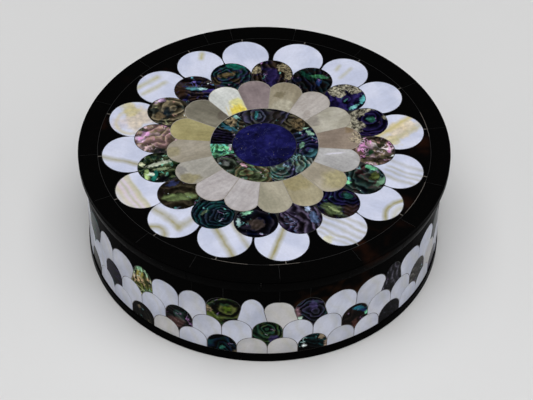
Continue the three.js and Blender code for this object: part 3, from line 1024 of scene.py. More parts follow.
def disc_patterns() -> list[dict]:
    """What sets each abalone disc apart, from the one beside the front petal on, towards +X."""
    layers = Growth.LAYERS
    return [
        {"palette": ((60, 46, 82), (108, 98, 124), (50, 40, 50)), "growth": layers, "axis": 5,
         "spacing": 0.24, "glints": ((140, 180, 230), (130, 120, 160)),
         "patches": (Patch(-0.45, 0.12, 0.15, (104, 128, 170), 0.8, tall=2.0),
         # painted glint: the blue-white patch at the lower left
         Patch(-0.38, -0.32, 0.08, (186, 206, 240), 0.9, tall=2.0))},
        {"palette": ((34, 40, 66), (40, 36, 86), (60, 50, 48)), "centre": (-0.45, -0.1), "spacing": 0.17,
         "shine": 0.15, "patches": (Patch(-0.48, -0.05, 0.16, (40, 96, 84), 0.8),
         Patch(0.36, 0.15, 0.24, (92, 108, 72), 0.9, tall=1.8, turn=20),
         Patch(0.3, 0.2, 0.08, (168, 186, 130), 0.9, tall=3.0, turn=10), Patch(-0.1, 0.6, 0.25, UMBER, 0.7))},
        {"palette": ((44, 54, 72), (66, 96, 88), (88, 56, 60)), "centre": (-0.3, 0.25), "spacing": 0.26,
         "shine": 0.25, "patches": (Patch(-0.3, 0.26, 0.15, (92, 104, 54), 0.9, tall=1.5, turn=90),
         Patch(-0.2, 0.6, 0.12, (124, 170, 138), 0.85, tall=3.0, turn=75),
         # painted glints: the bright mint patches at the left and lower right edges
         Patch(-0.62, 0.0, 0.1, (130, 220, 170), 0.9, tall=2.2),
         Patch(0.4, -0.4, 0.1, (150, 240, 180), 1.0))},
        {"palette": ((214, 184, 190), (146, 132, 102), (52, 60, 44), (170, 138, 126)), "shine": 0.6,
         "gloom": 0.6, "spacing": 0.34, "depth": 0.6, "glints": ((244, 236, 240), (240, 164, 226)),
         "patches": (Patch(0.15, -0.15, 0.16, (30, 76, 44), 0.9),
         Patch(-0.35, 0.3, 0.14, (40, 50, 30), 0.9))},
        {"palette": ((54, 42, 92), (42, 36, 84), (22, 22, 46)), "centre": (-0.1, 0.15), "shine": 0.15,
         "patches": (Patch(-0.1, 0.18, 0.15, (50, 116, 92), 0.9),
         Patch(-0.7, 0.1, 0.3, CRUST, 1.0, crust=True), Patch(0.0, -0.6, 0.4, CRUST, 1.0, crust=True),
         Patch(-0.6, -0.45, 0.35, CRUST, 1.0, crust=True), Patch(-0.05, 0.72, 0.16, CRUST, 0.9, crust=True))},
        {"palette": ((32, 26, 78), (58, 48, 112), (24, 20, 56)), "centre": (0.15, -0.15), "spacing": 0.4,
         "shine": 0.1, "depth": 0.6, "gloom": 0.3, "patches": (Patch(-0.5, 0.1, 0.3, CRUST, 1.0, crust=True),
         Patch(-0.25, 0.6, 0.36, CRUST, 1.0, crust=True),
         # painted glints: the cyan crescents at the right edge
         Patch(0.46, 0.42, 0.09, (120, 222, 226), 0.95, tall=2.4, turn=35),
         Patch(0.56, -0.08, 0.08, (150, 236, 236), 0.95, tall=2.6),
         Patch(0.2, -0.12, 0.13, (6, 6, 14), 1.0))},
        {"palette": ((26, 44, 50), (42, 34, 30), (28, 34, 58)), "growth": layers, "axis": 45, "shine": 0.12,
         "patches": (Patch(0.12, 0.32, 0.11, (72, 140, 98), 0.9, tall=2.6, turn=-65),
         Patch(0.25, 0.05, 0.09, (40, 70, 130), 0.8, tall=2.4, turn=20),
         Patch(-0.35, 0.2, 0.1, (18, 66, 54), 0.8, tall=3.0, turn=60))},
        {"palette": ((52, 42, 34), (64, 52, 40), (48, 40, 80)), "growth": layers, "axis": 0, "shine": 0.12,
         "patches": (Patch(0.0, -0.15, 0.26, (46, 38, 88), 0.85, tall=1.9),
         Patch(-0.6, 0.1, 0.22, (150, 140, 112), 0.8, crust=True),
         Patch(0.45, 0.35, 0.26, (160, 148, 118), 0.8, crust=True),
         Patch(0.65, -0.1, 0.2, (150, 140, 112), 0.8, crust=True))},
        {"palette": ((34, 38, 58), (40, 84, 80), (46, 40, 84), (84, 74, 54)), "centre": (-0.1, 0.15),
         "shine": 0.25, "patches": (Patch(-0.1, 0.14, 0.12, (110, 94, 62), 0.85, tall=2.6, turn=90),
         Patch(0.3, 0.5, 0.14, (28, 110, 94), 0.9, tall=2.6, turn=60),
         Patch(0.2, -0.62, 0.07, (160, 160, 140), 0.8, tall=2.2, turn=-25))},
        {"palette": ((62, 46, 38), (38, 34, 52), (84, 70, 62), (44, 44, 92)), "growth": layers, "axis": 50,
         "shine": 0.3, "glints": ((120, 205, 220), (120, 110, 200)),
         "patches": (Patch(0.0, 0.08, 0.1, (100, 168, 180), 0.85, tall=2.6, turn=40),
         # painted glint: the cyan-white streak in the middle
         Patch(0.22, -0.12, 0.07, (190, 236, 240), 0.95, tall=2.4, turn=40),
         Patch(0.4, -0.42, 0.1, (66, 56, 140), 0.8, tall=3.0, turn=50),
         Patch(-0.5, 0.3, 0.3, (56, 40, 28), 0.8))},
        {"palette": ((134, 126, 102), (168, 154, 124), (66, 72, 66)), "centre": (0.2, 0.0), "spacing": 0.28,
         "shine": 0.35, "glints": ((190, 200, 150), (214, 160, 150)),
         "patches": (Patch(-0.1, 0.05, 0.24, (18, 34, 44), 0.9),
         # painted glint: the pink-white patch at the top right
         Patch(-0.35, 0.15, 0.18, (150, 130, 98), 0.7), Patch(0.38, 0.6, 0.2, (232, 196, 240), 0.95))},
        {"palette": ((200, 174, 146), (198, 156, 160), (166, 150, 114), (228, 198, 198)), "growth": layers,
         "axis": 40, "spacing": 0.34, "shine": 0.5, "depth": 0.55, "gloom": 0.35, "glints": ((236, 214, 214),
         # painted glints: the pink-white patches at the top
         (230, 160, 216)), "patches": (Patch(-0.05, 0.55, 0.17, (242, 208, 242), 0.95),
         Patch(0.2, 0.35, 0.15, (236, 176, 230), 0.9), Patch(-0.65, -0.25, 0.24, (24, 34, 36), 0.95),
         Patch(0.38, 0.48, 0.14, (20, 44, 30), 0.85))},
        {"palette": ((12, 20, 18), (96, 110, 76), (18, 46, 42), (70, 92, 50)), "growth": layers, "axis": 2,
         "spacing": 0.42, "shine": 0.4, "gloom": 0.5, "depth": 0.8, "glints": ((238, 244, 226),
         (110, 206, 176)), "patches": (Patch(0.18, -0.05, 0.09, (238, 248, 222), 1.0, 0.3, tall=4.6, turn=4),
         Patch(-0.1, -0.05, 0.07, (190, 206, 160), 0.95, 0.4, tall=4.0, turn=-6),
         Patch(-0.25, 0.5, 0.09, (196, 226, 150), 0.95, 0.4, tall=3.0, turn=75),
         Patch(-0.36, 0.26, 0.09, (40, 140, 124), 0.95, 0.3, tall=3.2, turn=60),
         Patch(0.35, 0.55, 0.08, (236, 240, 200), 0.9, 0.4, tall=2.4, turn=-60),
         Patch(-0.6, 0.0, 0.2, (16, 16, 22), 0.95), Patch(0.5, -0.2, 0.16, (18, 22, 20), 0.9))},
        {"palette": ((40, 38, 30), (72, 66, 50), (52, 44, 38)), "growth": layers, "axis": 130, "shine": 0.1,
         "gloom": 0.4, "spacing": 0.4, "depth": 0.6,
         "patches": (Patch(-0.12, 0.1, 0.18, (120, 138, 90), 0.95, 0.3, tall=3.2, turn=-36),
         Patch(0.52, -0.1, 0.12, (60, 70, 120), 0.8, tall=2.0))},
        {"palette": ((26, 36, 46), (34, 84, 84), (34, 44, 66), (56, 70, 84)), "centre": (-0.3, 0.0),
         "spacing": 0.16, "shine": 0.2,
         "patches": (Patch(0.28, 0.12, 0.06, (120, 140, 110), 0.8, tall=2.6, turn=-20),)},
        {"palette": ((26, 30, 44), (48, 44, 56), NAVY), "centre": (0.0, 0.1), "spacing": 0.26, "shine": 0.15,
         "patches": (Patch(0.0, 0.1, 0.25, (84, 72, 66), 0.75),
         # painted glints: the mint and white-cyan patches at the right edge
         Patch(0.34, -0.38, 0.09, (150, 214, 178), 0.95, tall=2.2, turn=-60),
         Patch(0.56, 0.1, 0.07, (190, 226, 226), 0.9, tall=3.0, turn=10))},
    ]  # fmt: skip


@dataclass
class Flower:
    """The lid's flower, in millimetres: a blue disc, an abalone ring, and three rounds of pieces.

    Args:
        disc_radius: the blue disc's radius.
        ring_radius: the abalone ring's outer radius.
        shoulder: how far out the grey petals' straight sides reach.
        inner_tip: how far out the grey petals reach.
        eye_centre: how far out the abalone discs' centres lie.
        outer_tip: how far out the white petals reach.
        widest: the largest radius of a white petal's round end.
        usual: about what that radius is.
        inner_middle: how far out the grey petals' patterns are centred.
        outer_middle: how far out the white petals' patterns are centred.
        segment_gap: degrees that a segment of the ring stays short of its joint.
        ring_joints: angles of the ring's joints.
    """

    disc_radius: float = 10.9
    ring_radius: float = 18.5
    shoulder: float = 29.5
    inner_tip: float = 33.3
    eye_centre: float = 37.3
    outer_tip: float = 55.33
    widest: float = 8.9
    usual: float = 8.5
    inner_middle: float = 26.0
    outer_middle: float = 46.8
    segment_gap: float = 0.15
    ring_joints: tuple[float, ...] = (-148.0, -117.0, -90.0, -67.0, -40.0, 9.0, 68.0, 120.0, 151.0)

    def petal_angle(self, index: int) -> float:
        """The angle of a petal's inner point."""
        return FIRST_PETAL + PITCH * index

    def eye(self, index: int) -> Vector:
        """The centre of an abalone disc."""
        return outward(self.petal_angle(index) + PITCH / 2, self.eye_centre)

    def eye_radius(self) -> float:
        """The radius of an abalone disc."""
        return self.eye_centre * math.sin(math.radians(PITCH / 2)) - JOINT / 2

    def outer_radius(self, index: int) -> float:
        """The radius of a white petal's round end, which the closer neighbour limits."""
        about = self.outer_tip - self.usual
        own = OUTER_ANGLES[index % PETALS]
        gaps = []
        for other in (OUTER_ANGLES[(index - 1) % PETALS], OUTER_ANGLES[(index + 1) % PETALS]):
            apart = abs((other - own + 180) % 360 - 180)
            gaps.append(about * math.sin(math.radians(apart / 2)) - JOINT / 2)
        return min(self.widest, *gaps)

    def outer_centre(self, index: int) -> Vector:
        """The centre of a white petal's round end."""
        return outward(OUTER_ANGLES[index % PETALS], self.outer_tip - self.outer_radius(index))

    def crown(self, index: int) -> tuple[Vector, float]:
        """The centre and radius of a grey petal's tip."""
        half = math.radians(PITCH / 2)
        width = self.shoulder * math.sin(half) - JOINT / 2
        rise = self.inner_tip - self.shoulder * math.cos(half)
        radius = (width**2 + rise**2) / (2 * rise)
        return outward(self.petal_angle(index), self.inner_tip - radius), radius

    def build(self) -> None:
        """Makes every piece of the flower."""
        self.build_disc()
        self.build_ring()
        for index in range(PETALS):
            self.build_inner_petal(index)
            self.build_eye(index)
            self.build_outer_petal(index)

    def build_disc(self) -> None:
        """Makes the blue disc."""
        start = outward(0.0, self.disc_radius)
        outline = Outline(start)
        outline.arc(-start, Vector(), 32)
        outline.arc(start, Vector(), 32)
        make_piece("lapis_disc", outline.plate(INLAY_BOTTOM, TOP), [Lapis()], "lid_center_disc")

    def build_ring(self) -> None:
        """Makes the abalone ring from curved segments."""
        inner = self.disc_radius + JOINT
        profile = section(inner, self.ring_radius, INLAY_BOTTOM, TOP)
        whole = bmesh.new()
        finishes = []
        gap = self.segment_gap
        ends = self.ring_joints[1:] + (self.ring_joints[0] + 360,)
        tones = ring_patterns()
        for index, (start, end) in enumerate(zip(self.ring_joints, ends)):
            join(whole, swept(profile, start + gap, end - gap, 0.04), index)
            place = Place((start + end) / 2, (inner + self.ring_radius) / 2)
            finishes.append(Abalone(f"abalone_segment_{index + 1}", place, seed=60.0 + index, **tones[index]))
        make_piece("abalone_ring_segments", whole, finishes, "lid_abalone_ring")

    def build_inner_petal(self, index: int) -> None:
        """Makes one grey petal."""
        angle = self.petal_angle(index)
        inner = self.ring_radius + JOINT
        half = PITCH / 2
        low = half - math.degrees(JOINT / 2 / inner)
        high = half - math.degrees(JOINT / 2 / self.shoulder)
        centre, _ = self.crown(index)
        outline = Outline(outward(angle - low, inner))
        outline.line(outward(angle - high, self.shoulder))
        outline.arc(outward(angle + high, self.shoulder), centre, 18)
        outline.line(outward(angle + low, inner))
        outline.arc(outward(angle - low, inner), Vector(), 6, left=False)
        finish = Pearl(
            name=f"grey_pearl_{index + 1:02d}",
            place=Place(angle, self.inner_middle),
            grain=index * 37.0 % 40 - 20,
            silk=0.16,
            speckle=0.13,
            seed=3.7 * index + 20,
            **inner_patterns()[index],
        )
        name = f"inner_petal_{index + 1:02d}"
        make_piece(name + "_shell", outline.plate(INLAY_BOTTOM, TOP), [finish], name)

    def build_eye(self, index: int) -> None:
        """Makes one abalone disc, whose inner end fills the valley between two grey petals."""
        centre = self.eye(index)
        radius = self.eye_radius()
        crowns = [self.crown(index), self.crown(index + 1)]
        grown = [reach + JOINT for _, reach in crowns]
        valley = meeting(crowns[0][0], grown[0], crowns[1][0], grown[1])
        low = meeting(centre, radius, crowns[0][0], grown[0])
        high = meeting(centre, radius, crowns[1][0], grown[1])
        outline = Outline(valley)
        outline.arc(low, crowns[0][0], 5, left=False)
        outline.arc(high, centre, 36)
        outline.arc(valley, crowns[1][0], 5, left=False)
        angle = self.petal_angle(index) + PITCH / 2
        finish = Abalone(
            name=f"abalone_disc_finish_{index + 1:02d}",
            place=Place(angle, self.eye_centre),
            seed=5.3 * index,
            **disc_patterns()[index],
        )
        name = f"abalone_disc_{index + 1:02d}"
        make_piece(name + "_shell", outline.plate(INLAY_BOTTOM, TOP), [finish], name)

    def build_outer_petal(self, index: int) -> None:
        """Makes one white petal, whose inner end runs to a point between two abalone discs."""
        centre = self.outer_centre(index)
        radius = self.outer_radius(index)
        before = self.eye(index - 1)
        after = self.eye(index)
        grown = self.eye_radius() + JOINT
        point = meeting(before, grown, after, grown)
        outline = Outline(point)
        outline.arc(meeting(centre, radius, before, grown), before, 9, left=False)
        outline.arc(meeting(centre, radius, after, grown), centre, 40)
        outline.arc(point, after, 9, left=False)
        finish = Pearl(
            name=f"white_pearl_{index + 1:02d}",
            place=Place(OUTER_ANGLES[index], self.outer_middle),
            grain=index * 53.0 % 80 - 40,
            seed=2.9 * index,
            **outer_patterns()[index],
        )
        name = f"outer_petal_{index + 1:02d}"
        make_piece(name + "_shell", outline.plate(INLAY_BOTTOM, TOP), [finish], name)


def ring_patterns() -> list[dict]:
    """What sets each segment of the abalone ring apart, in the order of its joints."""
    layers = Growth.LAYERS
    return [
        {"palette": ((60, 68, 84), (66, 64, 60), (100, 92, 74), (56, 110, 116)), "growth": layers, "axis": 10,
         "shine": 0.3, "patches": (Patch(0.05, 0.15, 0.2, TAN, 0.8, crust=True),
         # painted glint: the bright cyan patch at the right
         Patch(0.35, 0.2, 0.1, (170, 226, 220), 0.9),
         Patch(-0.25, -0.05, 0.08, (60, 120, 150), 0.8, tall=3.4, turn=15))},
        {"palette": ((34, 32, 34), (44, 38, 70), (30, 28, 38)), "growth": layers, "axis": 0, "spacing": 0.16,
         "shine": 0.15, "glints": ((220, 200, 230), (90, 70, 140))},
        {"palette": ((92, 144, 120), (98, 156, 112), (44, 104, 100)), "shine": 0.9,
         "glints": ((130, 230, 170), (120, 220, 220)), "depth": 0.6, "gloom": 0.3,
         # painted glint: the pink-white streak at the inner edge
         "patches": (Patch(0.1, -0.31, 0.06, (240, 200, 216), 0.95, tall=2.8, turn=80),)},
        {"palette": ((46, 50, 44), (80, 96, 78), (110, 116, 108)), "shine": 0.35, "centre": (0.0, 0.15),
         "spacing": 0.24, "patches": (Patch(0.0, 0.15, 0.14, (120, 124, 122), 0.8),)},
        {"palette": ((74, 84, 62), (134, 156, 110), (124, 98, 74), (96, 140, 112)), "shine": 0.4,
         "centre": (0.2, 0.0), "spacing": 0.26, "depth": 0.7, "glints": ((90, 150, 120), (206, 170, 190)),
         # painted glint: the pink-white streak at the inner edge
         "patches": (Patch(0.4, -0.3, 0.06, (240, 190, 210), 0.95, tall=2.6, turn=70),)},
        {"palette": ((80, 82, 114), (132, 152, 128), (68, 140, 140), (154, 164, 158)), "shine": 0.35,
         "centre": (0.2, -0.4), "spacing": 0.16, "glints": ((150, 210, 210), (140, 130, 190)),
         "patches": (Patch(0.0, -0.25, 0.2, (40, 34, 84), 0.8),
         Patch(-0.2, 0.2, 0.16, (110, 140, 134), 0.7))},
        {"palette": ((54, 66, 90), (48, 42, 90), (80, 132, 142)), "shine": 0.3, "centre": (0.4, 0.1),
         # painted glint: the cyan-white streak at the left edge
         "spacing": 0.22, "patches": (Patch(-0.5, 0.12, 0.08, (176, 226, 200), 0.9, tall=2.2, turn=-40),
         Patch(0.1, -0.2, 0.08, (130, 180, 150), 0.8, tall=2.0, turn=60))},
        {"palette": ((56, 54, 48), (104, 98, 78), (80, 76, 64)), "shine": 0.2, "centre": (-0.2, 0.0),
         "patches": (Patch(0.0, 0.1, 0.3, (104, 90, 66), 0.9, crust=True),
         # painted glint: the cyan-white streak at the right
         Patch(0.42, 0.1, 0.06, (176, 226, 200), 0.9, tall=2.4, turn=-40))},
        {"palette": ((76, 88, 104), (82, 78, 108), (88, 90, 86)), "shine": 0.2, "centre": (-0.15, 0.0),
         "spacing": 0.22, "patches": (Patch(-0.25, 0.02, 0.06, (60, 140, 146), 0.85, tall=3.4, turn=-10),
         Patch(0.4, -0.1, 0.3, (44, 38, 30), 0.8))},
    ]  # fmt: skip


@dataclass
class LidGround:
    """The near-black pieces round the flower, the ring of short lengths and the pale seams, in millimetres.

    Args:
        flower: the flower that they fit round.
        seam: width of the seam inside the ring.
        seam_depth: how far the pale compound lies below the face.
        tick_width: width of the seams beyond the petals' tips.
        bare: from what gap between two petals on a disc shows between them.
        chamfer: how far the ring's foot stands in and up.
        length_gap: degrees that a length stays short of its joint.
        border_joints: angles of the ring's joints.
        amber_border: how brown single lengths are, by number.
        amber_ground: how brown single ground pieces are, by number.
        pale_seams: where the ring's seam shows, as angles.
    """

    flower: Flower
    seam: float = 0.16
    seam_depth: float = 0.03
    tick_width: float = 0.3
    bare: float = 0.7
    chamfer: float = 0.02
    length_gap: float = 0.04
    border_joints: tuple[float, ...] = (
        -168.0, -159.0, -134.0, -110.0, -84.0, -63.0, -41.0, -22.0,
        5.0, 30.0, 52.0, 72.0, 99.0, 122.0, 146.0, 170.0,
    )  # fmt: skip
    amber_border: dict[int, float] = field(default_factory=lambda: {9: 0.35, 2: 0.15, 13: 0.2})
    amber_ground: dict[int, float] = field(default_factory=lambda: {1: 0.7, 2: 0.55, 3: 0.4, 9: 0.5, 11: 0.6})
    pale_seams: tuple[tuple[float, float], ...] = ((-17.0, -5.0), (2.0, 12.0), (55.0, 72.0), (95.0, 108.0))

    def build(self) -> None:
        """Makes the ground pieces, the border ring and the seams."""
        self.build_ground()
        self.build_border()
        self.build_seams()

    def ground_outline(self, index: int) -> Outline:
        """The outline of the ground piece after a white petal."""
        flower = self.flower
        start = OUTER_ANGLES[index]
        end = OUTER_ANGLES[(index + 1) % PETALS]
        end += 360 if end < start else 0
        rim = BORDER_INNER - self.seam / 2
        tick = math.degrees((self.tick_width / 2 + 0.05) / rim)
        a, b = flower.outer_centre(index), flower.outer_centre(index + 1)
        reach_a, reach_b = flower.outer_radius(index), flower.outer_radius(index + 1)
        gap = (b - a).length - reach_a - reach_b
        grow = max(JOINT, gap / 2 + 0.1) if gap < self.bare else JOINT
        reach_a += grow
        reach_b += grow
        outline = Outline(outward(start + tick, rim))
        outline.arc(outward(end - tick, rim), Vector(), 12)
        near_b = outward(end - tick, flower.outer_tip + grow)
        outline.line(b + (near_b - b).normalized() * reach_b)
        if gap < self.bare:
            outline.arc(meeting(a, reach_a, b, reach_b), b, 12, left=False)
        else:
            eye = flower.eye(index)
            grown = flower.eye_radius() + JOINT
            outline.arc(meeting(b, reach_b, eye, grown), b, 14, left=False)
            outline.arc(meeting(a, reach_a, eye, grown), eye, 4, left=False)
        near_a = outward(start + tick, flower.outer_tip + grow)
        outline.arc(a + (near_a - a).normalized() * reach_a, a, 12, left=False)
        outline.line(outward(start + tick, rim))
        return outline

    def build_ground(self) -> None:
        """Makes the pieces between the petals."""
        whole = bmesh.new()
        finishes: list[Finish] = [DarkShell("dark_shell")]
        for index in range(PETALS):
            amber = self.amber_ground.get(index, 0.0)
            if amber:
                finishes.append(DarkShell(f"brown_shell_{index + 1:02d}", amber))
            part = self.ground_outline(index).plate(INLAY_BOTTOM, TOP)
            join(whole, part, len(finishes) - 1 if amber else 0)
        make_piece("ground_pieces", whole, finishes, "lid_ground")

    def build_border(self) -> None:
        """Makes the ring from short lengths."""
        inner = BORDER_INNER + self.seam / 2
        bottom = INLAY_BOTTOM + self.chamfer
        profile = ((inner, bottom), (LID_RADIUS - self.chamfer, bottom), (LID_RADIUS, TOP), (inner, TOP))
        joints, amber = self.border_joints, self.amber_border
        whole, finishes = lay_lengths(profile, joints, self.length_gap, 0.05, amber, "brown_border")
        make_piece("border_lengths", whole, finishes, "lid_border_ring")

    def build_seams(self) -> None:
        """Makes the pale compound that shows beyond the petals' tips and in part of the ring's seam."""
        whole = bmesh.new()
        top = TOP - self.seam_depth
        rim = BORDER_INNER + self.seam / 2
        inner = BORDER_INNER - self.seam / 2
        for start, end in self.pale_seams:
            join(whole, swept(section(inner, rim, INLAY_BOTTOM, top), start, end, 0.0))
        for angle in OUTER_ANGLES:
            half = math.degrees(self.tick_width / 2 / rim)
            low = self.flower.outer_tip
            outline = Outline(outward(angle - half, low))
            for side, reach in ((-half, inner), (half, inner), (half, low), (-half, low)):
                outline.line(outward(angle + side, reach))
            join(whole, outline.plate(INLAY_BOTTOM, top, 0.0))
        make_piece("lid_seam_filler", whole, [Filler("pale_filler", (98, 92, 86))])


@dataclass
class LidCore:
    """The lid's marble slab, its side band and the bed under its facing, in millimetres.

    Args:
        step_radius: radius of the step that sits inside the rim.
        chamfer: width of the cut on the step's lower corner.
        seat: the gap between the slab and the rim below it.
        band_foot: the band's outer radius at its foot.
        band_inner: the band's inner radius.
        band_lip: height of the upright part at the band's top.
        bed_depth: how far the bed lies below the face.
        length_gap: degrees that a length stays short of its joint.
        band_joints: angles of the band's joints.
        amber_band: how brown single lengths are, by number.
    """

    step_radius: float = 53.7
    chamfer: float = 0.5
    seat: float = 0.12
    band_foot: float = 62.2
    band_inner: float = 60.6
    band_lip: float = 0.4
    bed_depth: float = 0.06
    length_gap: float = 0.04
    band_joints: tuple[float, ...] = (
        -164.0, -138.0, -117.0, -92.0, -66.0, -45.0, -23.0, -0.5, 26.0, 47.0, 71.0, 96.0, 121.0, 144.0, 172.0,
    )  # fmt: skip
    amber_band: dict[int, float] = field(default_factory=lambda: {5: 0.35, 8: 0.45})

    def build(self) -> None:
        """Makes the slab, the band and the beds."""
        low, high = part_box("lid_slab")
        slab_radius = high.x / MM
        bottom = low.z / MM
        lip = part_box("lid_side_band")[0].z / MM
        step, seat = self.step_radius, BODY_TOP + self.seat
        profile = (
            (0.0, bottom), (step - self.chamfer, bottom), (step, bottom + self.chamfer), (step, seat),
            (slab_radius - 0.1, seat), (slab_radius, lip + 0.3), (slab_radius, high.z / MM),
            (0.0, high.z / MM),
        )  # fmt: skip
        slab = turned(profile)
        shade(slab)
        make_piece("lid_marble", slab, [Marble()], "lid_slab")
        self.build_band()
        self.build_beds()

    def build_band(self) -> None:
        """Makes the band round the lid's side from short lengths."""
        low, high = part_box("lid_side_band")
        bottom, top = low.z / MM, high.z / MM
        outer, inner = high.x / MM, self.band_inner
        profile = (
            (inner, bottom), (self.band_foot, bottom), (outer, top - self.band_lip), (outer, top),
            (inner, top),
        )  # fmt: skip
        joints, amber = self.band_joints, self.amber_band
        whole, finishes = lay_lengths(profile, joints, self.length_gap, 0.05, amber, "brown_band")
        shade(whole)
        make_piece("lid_band_lengths", whole, finishes, "lid_side_band")

    def build_beds(self) -> None:
        """Makes the setting compound that shows in the lid's joints."""
        low, high = INLAY_BOTTOM, TOP - self.bed_depth
        beds = (
            ("centre", 0.0, 18.35, (8, 7, 8)),
            ("inner", 18.4, 33.4, (150, 144, 134)),
            ("outer", 33.45, 62.9, (8, 7, 8)),
        )
        for name, inner, outer, tone in beds:
            bed = turned(section(inner, outer, low, high), 96, closed=bool(inner))
            make_piece(f"{name}_filler", bed, [Filler(f"{name}_filler", tone)])


@dataclass
class Bowl:
    """The marble cup, in millimetres.

    Args:
        floor: height of the floor inside.
        inside_radius: radius of the inside.
        foot_chamfer: width of the cut round the foot.
        rim_round: how far the rim is rounded off inside.
        fillet: radius of the fillet round the floor.
        fillet_middle: how far the middle of the fillet stands off the wall and the floor.
    """

    floor: float = 6.0
    inside_radius: float = 54.53
    foot_chamfer: float = 0.6
    rim_round: float = 0.4
    fillet: float = 1.2
    fillet_middle: float = 0.35

    def build(self) -> None:
        """Makes the cup with a rounded rim and a small fillet inside."""
        low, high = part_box("box_body")
        radius = high.x / MM
        bottom, top = low.z / MM, high.z / MM
        inside, floor, foot = self.inside_radius, self.floor, self.foot_chamfer
        profile = (
            (0.0, bottom), (radius - foot, bottom), (radius, bottom + foot), (radius, top - 0.1),
            (radius - 0.1, top), (inside + self.rim_round, top), (inside, top - self.rim_round),
            (inside, floor + self.fillet), (inside - self.fillet_middle, floor + self.fillet_middle),
            (inside - self.fillet, floor), (0.0, floor),
        )  # fmt: skip
        cup = turned(profile)
        shade(cup)
        make_piece("marble_cup", cup, [Marble()], "box_body")


def tile_patterns() -> dict[tuple[int, int], dict]:
    """What sets the front's abalone tiles apart, by row and by how many tiles they are from its first."""
    layers = Growth.LAYERS
    return {
        (2, -3): {"palette": ((70, 104, 56), (142, 150, 70), (34, 50, 38)), "shine": 0.9, "gloom": 0.4,
            "depth": 0.6, "glints": ((196, 238, 196), (236, 196, 156)), "growth": layers, "axis": 20,
            "patches": (Patch(-0.15, 0.4, 0.14, (170, 236, 190), 0.9),
            # painted glint: the red-white patch
            Patch(-0.4, -0.1, 0.1, (250, 214, 200), 1.0), Patch(0.4, 0.35, 0.26, (24, 28, 26), 0.9),
            Patch(-0.1, 0.1, 0.2, (196, 178, 90), 0.7))},
        (2, 0): {"palette": ((70, 92, 44), (40, 72, 50), (104, 112, 60)), "centre": (0.15, 0.0),
            "spacing": 0.21, "shine": 0.08, "gloom": 0.3, "depth": 1.0,
            "patches": (Patch(0.15, 0.0, 0.12, (112, 142, 44), 0.9, tall=1.3),
            Patch(-0.3, -0.4, 0.16, (96, 116, 50), 0.8, tall=2.0, turn=60),
            Patch(-0.5, -0.1, 0.14, TAN, 0.7, crust=True))},
        (2, 3): {"palette": ((44, 48, 58), (66, 60, 92), (28, 74, 68)), "centre": (0.05, -0.1),
            "spacing": 0.2, "shine": 0.1, "gloom": 0.35, "depth": 1.0,
            "patches": (Patch(0.08, 0.15, 0.14, (84, 74, 124), 0.8, tall=1.6),
            Patch(-0.5, 0.0, 0.12, (168, 128, 138), 0.8, tall=2.0),
            # painted glint: the white patch at the lower left
            Patch(-0.42, -0.36, 0.08, (210, 240, 220), 1.0))},
        (2, 6): {"palette": ((44, 42, 54), (100, 98, 112), (26, 25, 30)), "growth": layers, "axis": 5,
            "shine": 0.1, "spacing": 0.3},
        (1, -5): {"palette": ((24, 17, 38), (42, 32, 68), (12, 16, 34)), "growth": layers, "axis": 80,
            "shine": 0.1},
        (1, -2): {"palette": ((16, 28, 28), (36, 42, 40), (28, 20, 24)), "growth": layers, "axis": 75,
            "shine": 0.1, "spacing": 0.22, "patches": (Patch(-0.1, -0.3, 0.3, (112, 80, 78), 0.7),
            Patch(0.05, 0.1, 0.2, (60, 90, 84), 0.6))},
        (1, 1): {"palette": ((60, 88, 46), (34, 74, 60), (92, 104, 56)), "centre": (-0.05, 0.15),
            "spacing": 0.17, "shine": 0.08, "gloom": 0.3, "depth": 1.0,
            "patches": (Patch(0.2, -0.35, 0.18, (66, 52, 104), 0.8),)},
        (1, 4): {"palette": ((34, 26, 22), (28, 22, 19), (46, 33, 29)), "growth": layers, "axis": 120,
            "shine": 0.1, "spacing": 0.4, "depth": 0.6,
            "patches": (Patch(0.16, 0.25, 0.1, (36, 110, 130), 0.9, tall=2.4, turn=60),
            Patch(0.32, 0.08, 0.07, (34, 56, 120), 0.85, tall=2.4, turn=50),
            # painted glint: the bright green-white patch at the right edge
            Patch(0.44, -0.1, 0.09, (150, 244, 200), 1.0), Patch(0.0, -0.4, 0.16, (110, 70, 62), 0.6))},
        (1, 7): {"palette": ((92, 90, 86), (70, 68, 66), (104, 102, 96)), "growth": layers, "axis": 60,
            "shine": 0.08, "spacing": 0.3, "depth": 0.5},
        (0, -3): {"palette": ((26, 22, 19), (14, 13, 12), (38, 36, 30)), "growth": layers, "axis": 30,
            "shine": 0.12, "patches": (Patch(-0.15, 0.25, 0.1, (110, 100, 82), 0.8, crust=True),
            Patch(0.3, -0.2, 0.08, (90, 84, 70), 0.6, crust=True))},
        (0, 0): {"palette": ((18, 60, 64), (20, 32, 62), (12, 36, 32)), "centre": (0.0, -0.15),
            "spacing": 0.24, "shine": 0.1, "gloom": 0.5, "depth": 1.0,
            "patches": (Patch(0.0, -0.12, 0.1, (60, 130, 110), 0.8),
            Patch(0.5, -0.3, 0.14, (130, 116, 90), 0.8))},
        (0, 3): {"palette": ((10, 10, 11), (12, 20, 22), (24, 66, 70)), "growth": layers, "axis": 65,
            "shine": 0.2, "glints": ((210, 240, 236), (120, 200, 200)),
            "patches": (Patch(0.32, 0.28, 0.1, (200, 180, 150), 0.9, tall=1.6, turn=30),
            Patch(0.5, -0.15, 0.1, (180, 154, 132), 0.9, tall=2.6),
            # painted glint: the white-cyan patch
            Patch(-0.3, 0.0, 0.08, (230, 240, 240), 1.0))},
        (0, 6): {"palette": ((30, 29, 40), (20, 19, 26), (46, 44, 54)), "growth": layers, "axis": 40,
            "shine": 0.08, "spacing": 0.18},
    }  # fmt: skip


